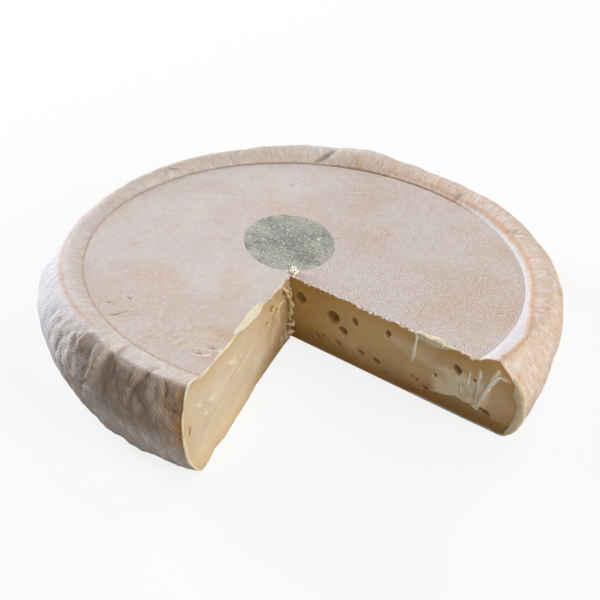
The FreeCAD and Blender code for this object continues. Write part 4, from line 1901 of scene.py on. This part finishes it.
# The same rind round the heel, where the cloth was drawn in folds: streaks run down
# the side, and the folds hold the orange smear of the wash.
HEEL_RIND = Finish(
    "washed_rind_drawn_in_cloth", "DAD2CE",
    (
        Layer("D6C7BA", noise(22.0, shift=6.0), 0.40, 0.60, 0.6),
        Layer("DFC6AE", mark("warm"), 0.0, 1.0, 0.6, (9.0, 0.8)),
        Layer("D5AE8B", noise(3.6, (1.0, 0.5, 1.0), 5.0), 0.50, 0.70, 0.4,
              gate=mark("warm"), gate_low=-0.8),
        Layer("E9E4E1", noise(1.5, (1.0, 0.42, 1.0), 5.0, 4.0), 0.48, 0.64, 0.65),
        Layer("CB935F", noise(0.9, (1.0, 0.42, 1.0), 5.0, 2.0), 0.56, 0.66, 0.6,
              gate=mark("warm"), gate_low=-0.5),
        # White bloom; on the far-left side partly painted light, where the left lamp falls.
        Layer("E6E3E4", mark("bloom"), 0.1, 0.9, 0.85, (1.2, 0.8)),
        Layer("D2A077", mark("line", absolute=True), 1.1, 0.1, 0.65, (0.6, 1.5),
              gate=mark("lined")),
        Layer("C39570", mark("ring", 0.30, True), 0.34, 0.08, 0.6, (0.9, 0.3),
              mark("bloom"), 0.7, 0.2),
        # Painted shade: dark grey-brown in the crease below the bead.
        Layer("8F7059", mark("ring", 0.5, True), 0.60, 0.1, 0.7, (0.8, 0.5), mark("crease")),
        # Painted shade: grey-brown on the front of the heel, which is turned from the lamps.
        Layer("9A8879", mark("dusk"), 0.0, 0.9, 0.8, (4.0, 0.4)),
        # Painted shade: grey-brown in the folds and creases of the heel.
        Layer("7C6757", mark("valley"), 0.1, 1.0, 0.6),
        Layer("BA8843", mark("amber"), 0.1, 0.9, 0.8, (2.5, 0.7)),
        Layer("D3A560", mark("moist"), 0.15, 0.9, 0.45, (1.0, 0.6)),
        Layer("B0927B", threads(), 0.30, 0.02, 0.4, (1.4, 0.5)),
    ),
    (
        Bump(threads((1.0, 0.7, 1.0)), 0.08),
        Bump(noise(0.5, (1.0, 0.5, 1.0), 3.0), 0.12),
        Bump(noise(1.6, (1.0, 0.45, 1.0), 5.0), 0.40),
    ),
    0.80, (0.5, 0.35, 0.25), 0.15, on_surface=True)


def paste(name: str, base: str, gold: str, foot: str, deep: str, light: str,
          reach: tuple[float, float]) -> Finish:
    """Soft ripened paste, cut with a knife: moist, translucent, golden by the rind.

    Args:
        name: the material's name.
        base: colour inside.
        gold: colour just under the rind.
        foot: painted shade low down on the face.
        deep: painted shade by the corner where the cuts meet.
        light: paler colour in a random mottle and where the paste is torn; on the torn ridges
            it is partly painted highlight.
        reach: distances from the corner where that painted shade low down is gone and full.

    Returns:
        The finish.
    """
    return Finish(
        name, base,
        (
            Layer(light, noise(9.0, (0.5, 1.0, 1.0), 4.0), 0.46, 0.70, 0.45),
            Layer(gold, mark("under"), 5.0, 0.6, 0.7, (5.0, 2.0)),
            # Painted shade: darker towards the corner where the cuts meet, which the wedge
            # shades.
            Layer(deep, mark("out"), 26.0, 2.0, 0.75, (6.0, 4.0)),
            # Painted shade: darker low down on the face, by the floor.
            Layer(foot, mark("up"), 9.0, 0.5, 0.75, (6.0, 3.0), mark("out"), *reach),
            Layer(gold, noise(0.8, (0.06, 1.0, 1.0), 2.0), 0.55, 0.75, 0.25),
            # Paler where torn: partly the torn paste's own colour, partly painted highlight on
            # its ridges.
            Layer(light, mark("torn"), 0.1, 0.9, 0.9, (1.5, 0.4)),
            # Painted shade: dark golden-brown inside the eyes.
            Layer("8C6224", mark("hollow"), 0.2, 1.0, 0.8),
            Layer("A0703F", mark("under"), 0.75, 0.35, 0.25, (0.8, 0.6)),
            Layer("E6DACA", mark("under"), 0.40, 0.20, 0.9, (0.6, 0.35)),
        ),
        (
            Bump(noise(0.45, (0.05, 1.0, 1.0), 2.0), 0.03),
            Bump(noise(1.6, detail=4.0, shift=2.0), 0.10),
        ),
        0.45, (1.1, 0.75, 0.45), 1.0, on_surface=True, ior=1.45, gloss=(3.0, 0.30, 0.55))


# The first cut, turned from the lamps, is set darker and more golden than the second: partly
# the paste's own colour, partly painted shade.
FIRST_PASTE = paste("ripe_paste_knife_cut_golden", "DCC192", "DAAA60",
                    "8F6B38", "B68E44", "FFF0D8", (-2.0, -1.0))
SECOND_PASTE = paste("ripe_paste_knife_cut_cream", "E5D5B8", "E0C697",
                     "9E8358", "B8945E", "FBF4E4", (36.0, 8.0))

# Paste dragged out thin by the knife: paler, because less of it lies under the skin.
DRAGGED_PASTE = Finish(
    "ripe_paste_dragged_thin", "F1E3C2",
    (Layer("FAF3E2", noise(1.4, detail=3.0), 0.45, 0.65, 0.6),
     Layer("E6CB96", noise(3.0, shift=3.0), 0.52, 0.74, 0.6)),
    (Bump(noise(0.6, detail=3.0), 0.10),),
    0.34, (0.6, 0.5, 0.4), 0.7, ior=1.45)

# Paste that hangs in lumps by the corner, the colour of the cut it was pulled from.
HANGING_PASTE = Finish(
    "ripe_paste_hanging", "D9C49A",
    (Layer("EBDDBA", noise(1.2, detail=3.0), 0.46, 0.62, 0.6),
     Layer("B79A64", noise(2.0, shift=3.0), 0.52, 0.70, 0.6)),
    (Bump(noise(0.6, detail=3.0), 0.12),),
    0.34, (0.8, 0.6, 0.4), 0.7, ior=1.45)

# Paste drawn out into strings: wet, so its ridges glint, and set whiter than the cut, partly
# its own paler colour and partly painted highlight where the strings stand out into the light.
DRAWN_PASTE = Finish(
    "ripe_paste_drawn_wet", "F8F0DC",
    (Layer("FFFBF2", noise(1.0, detail=3.0), 0.42, 0.60, 0.8),
     Layer("EAD8B0", noise(2.4, shift=3.0), 0.56, 0.76, 0.4)),
    (Bump(noise(0.5, detail=3.0), 0.08),),
    0.18, (0.5, 0.4, 0.3), 0.4, ior=1.50)

# Torn rind and dry bloom: the white skin, with tan where its underside shows.
TORN_RIND = Finish(
    "torn_white_rind", "DED3C8",
    (Layer("BF9873", noise(0.9, detail=3.0), 0.52, 0.68, 0.6),
     Layer("F0EBE6", noise(0.5, shift=3.0), 0.52, 0.66, 0.7)),
    (Bump(noise(0.35), 0.10),),
    0.7, (0.5, 0.4, 0.3), 0.4)

# Pressed green casein, damp under the bloom, mottled and specked with its moulds.
CASEIN = Finish(
    "pressed_casein_mottled", "B3B3A8",
    (
        Layer("A1A68F", noise(9.0, shift=2.2), 0.44, 0.60, 0.7),
        Layer("85888D", noise(8.0, (1.0, 1.3, 1.0), 3.0, 4.4), 0.48, 0.66, 0.8),
        Layer("C8C5BB", noise(6.0, detail=4.0, shift=7.9), 0.52, 0.70, 0.6),
        Layer("80837F", mark("q"), 0.75, 0.1, 0.65, (5.0, 0.9)),
        Layer("E2DFD6", noise(0.6, detail=3.0), 0.52, 0.62, 0.60),
        Layer("5F655C", noise(0.5, detail=3.0, shift=6.0), 0.54, 0.64, 0.70,
              gate=noise(5.0, shift=9.0), gate_low=0.30, gate_high=0.52),
        Layer("565B50", Field(Source.CELLS, 0.75), 0.26, 0.06, 0.60),
        Layer("E6E2D6", noise(1.8, shift=11.0), 0.66, 0.72, 0.8),
        Layer("D3CAC4", mark("q"), 0.92, 1.0, 0.8, (0.7, 0.2)),
    ),
    (Bump(Field(Source.CELLS, 0.7), 0.06, 0.0, 0.5), Bump(noise(0.5, detail=3.0), 0.10)),
    0.80, (0.4, 0.35, 0.3), 0.12)


# ---------------------------------------------------------------- floor, lamps, camera

@dataclass(frozen=True)
class Lamp:
    """A square soft lamp that looks at the wheel."""

    name: str
    azimuth: float
    rise: float
    reach: float
    size: float
    power: float
    colour: str


@dataclass(frozen=True)
class Studio:
    """A plain pale floor, plain soft lamps and the camera. Metres and degrees."""

    lamps: tuple[Lamp, ...] = (
        Lamp("right_lamp", 6.0, 29.0, 0.75, 0.35, 3.4, "FFF9F2"),
        Lamp("left_lamp", 177.0, 14.0, 0.85, 0.35, 10.2, "F1F5FF"),
        Lamp("back_lamp", 90.0, 45.0, 0.80, 0.40, 1.7, "FFFFFF"),
        Lamp("front_lamp", -45.0, 30.0, 0.80, 0.40, 1.4, "FFF6EA"),
    )
    sky: float = 0.13
    floor_half: float = 4.0
    floor_pale: tuple[float, float] = (0.1, 0.82)
    floor_white: tuple[float, float] = (0.6, 1.0)
    camera_place: Triple = (0.11758, -0.15964, 0.15633)
    camera_down: float = 37.45
    camera_turn: float = 36.79
    lens: float = 54.0
    sensor: float = 36.0

    def floor(self) -> None:
        """A floor the camera sees as nearly white, with a soft shadow by the cheese.

        Its share of plain white grows with the distance from the middle, from
        floor_pale to floor_white, each a distance and a share.
        """
        far = self.floor_half
        mesh = bpy.data.meshes.new("floor")
        mesh.from_pydata([(-far, -far, 0), (far, -far, 0), (far, far, 0), (-far, far, 0)],
                         [], [(0, 1, 2, 3)])
        material = bpy.data.materials.new("pale_paper_floor")
        material.use_nodes = True
        tree = material.node_tree
        tree.nodes.clear()
        path = add(tree, "LightPath").outputs["Is Camera Ray"]
        pale = add(tree, "BsdfDiffuse", {"Color": linear("F4F3F2")})
        white = add(tree, "Emission", {"Color": (1, 1, 1, 1), "Strength": 1.0})
        spot = add(tree, "TexCoord").outputs["Object"]
        away = add(tree, "VectorMath", {0: spot}, operation="LENGTH").outputs["Value"]
        near, near_share = self.floor_pale
        off, off_share = self.floor_white
        share = add(tree, "MapRange", {"Value": away, "From Min": near, "From Max": off,
                                       "To Min": near_share, "To Max": off_share}).outputs[0]
        seen = add(tree, "MixShader", {0: share, 1: pale.outputs[0], 2: white.outputs[0]})
        lit = add(tree, "BsdfDiffuse", {"Color": linear("9C9792")})
        both = add(tree, "MixShader", {0: path, 1: lit.outputs[0], 2: seen.outputs[0]})
        add(tree, "OutputMaterial", {0: both.outputs[0]})
        mesh.materials.append(material)
        floor = bpy.data.objects.new("floor", mesh)
        bpy.context.scene.collection.objects.link(floor)

    def light(self) -> None:
        """The lamps, and an even sky that the camera sees as white."""
        for lamp in self.lamps:
            data = bpy.data.lights.new(lamp.name, "AREA")
            data.energy, data.size = lamp.power, lamp.size
            data.color = linear(lamp.colour)[:3]
            piece = bpy.data.objects.new(lamp.name, data)
            turn, rise = math.radians(lamp.azimuth), math.radians(lamp.rise)
            piece.location = (lamp.reach * math.cos(turn) * math.cos(rise),
                              lamp.reach * math.sin(turn) * math.cos(rise),
                              lamp.reach * math.sin(rise))
            piece.rotation_euler = (math.pi / 2 - rise, 0, turn + math.pi / 2)
            bpy.context.scene.collection.objects.link(piece)
        world = bpy.data.worlds.new("studio_sky")
        world.use_nodes = True
        tree = world.node_tree
        tree.nodes.clear()
        path = add(tree, "LightPath").outputs["Is Camera Ray"]
        strength = add(tree, "Mix", {0: path, 2: self.sky, 3: 1.0},
                       data_type="FLOAT").outputs[0]
        sky = add(tree, "Background", {"Color": (1, 1, 1, 1), "Strength": strength})
        add(tree, "OutputWorld", {0: sky.outputs[0]})
        bpy.context.scene.world = world

    def camera(self) -> None:
        """The camera: 37 degrees up, 0.26 m from the floor along the way it looks."""
        data = bpy.data.cameras.new("camera")
        data.lens, data.sensor_width = self.lens, self.sensor
        data.clip_start = 0.01
        piece = bpy.data.objects.new("camera", data)
        piece.location = self.camera_place
        piece.rotation_euler = (math.radians(90 - self.camera_down), 0,
                                math.radians(self.camera_turn))
        bpy.context.scene.collection.objects.link(piece)
        bpy.context.scene.camera = piece
        bpy.context.scene.view_settings.view_transform = "Standard"


# ---------------------------------------------------------------- the whole part

def seat(piece: Piece, node: str) -> None:
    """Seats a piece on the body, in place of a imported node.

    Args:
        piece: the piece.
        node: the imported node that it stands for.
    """
    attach(piece, "root")
    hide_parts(node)
    log.info("%s: %d faces", piece.name, len(piece.data.polygons))


def main() -> None:
    """Builds the cheese, its mark and its trimmings, then the studio."""
    cheese = CutWheel()
    body = cheese.build([finish.make() for finish in (PRESSED_RIND, HEEL_RIND, FIRST_PASTE,
                                                      SECOND_PASTE)])
    seat(body, "cheese")
    disc = CaseinMark(cheese.wheel, cheese.rind).build(CASEIN.make())
    seat(disc, "casein_disc")
    trimmings = Trimmings(cheese)
    drawn = DRAWN_PASTE.make()
    for piece in (trimmings.lips(DRAGGED_PASTE.make()), trimmings.shreds(TORN_RIND.make()),
                  trimmings.hanging("paste_strings", cheese.right, STRINGS, drawn),
                  trimmings.hanging("paste_drips", cheese.left, DRIPS, HANGING_PASTE.make()),
                  trimmings.crumbs(drawn)):
        seat(piece, "cheese")
    studio = Studio()
    studio.floor()
    studio.light()
    studio.camera()


if __name__ == "__main__":
    main()
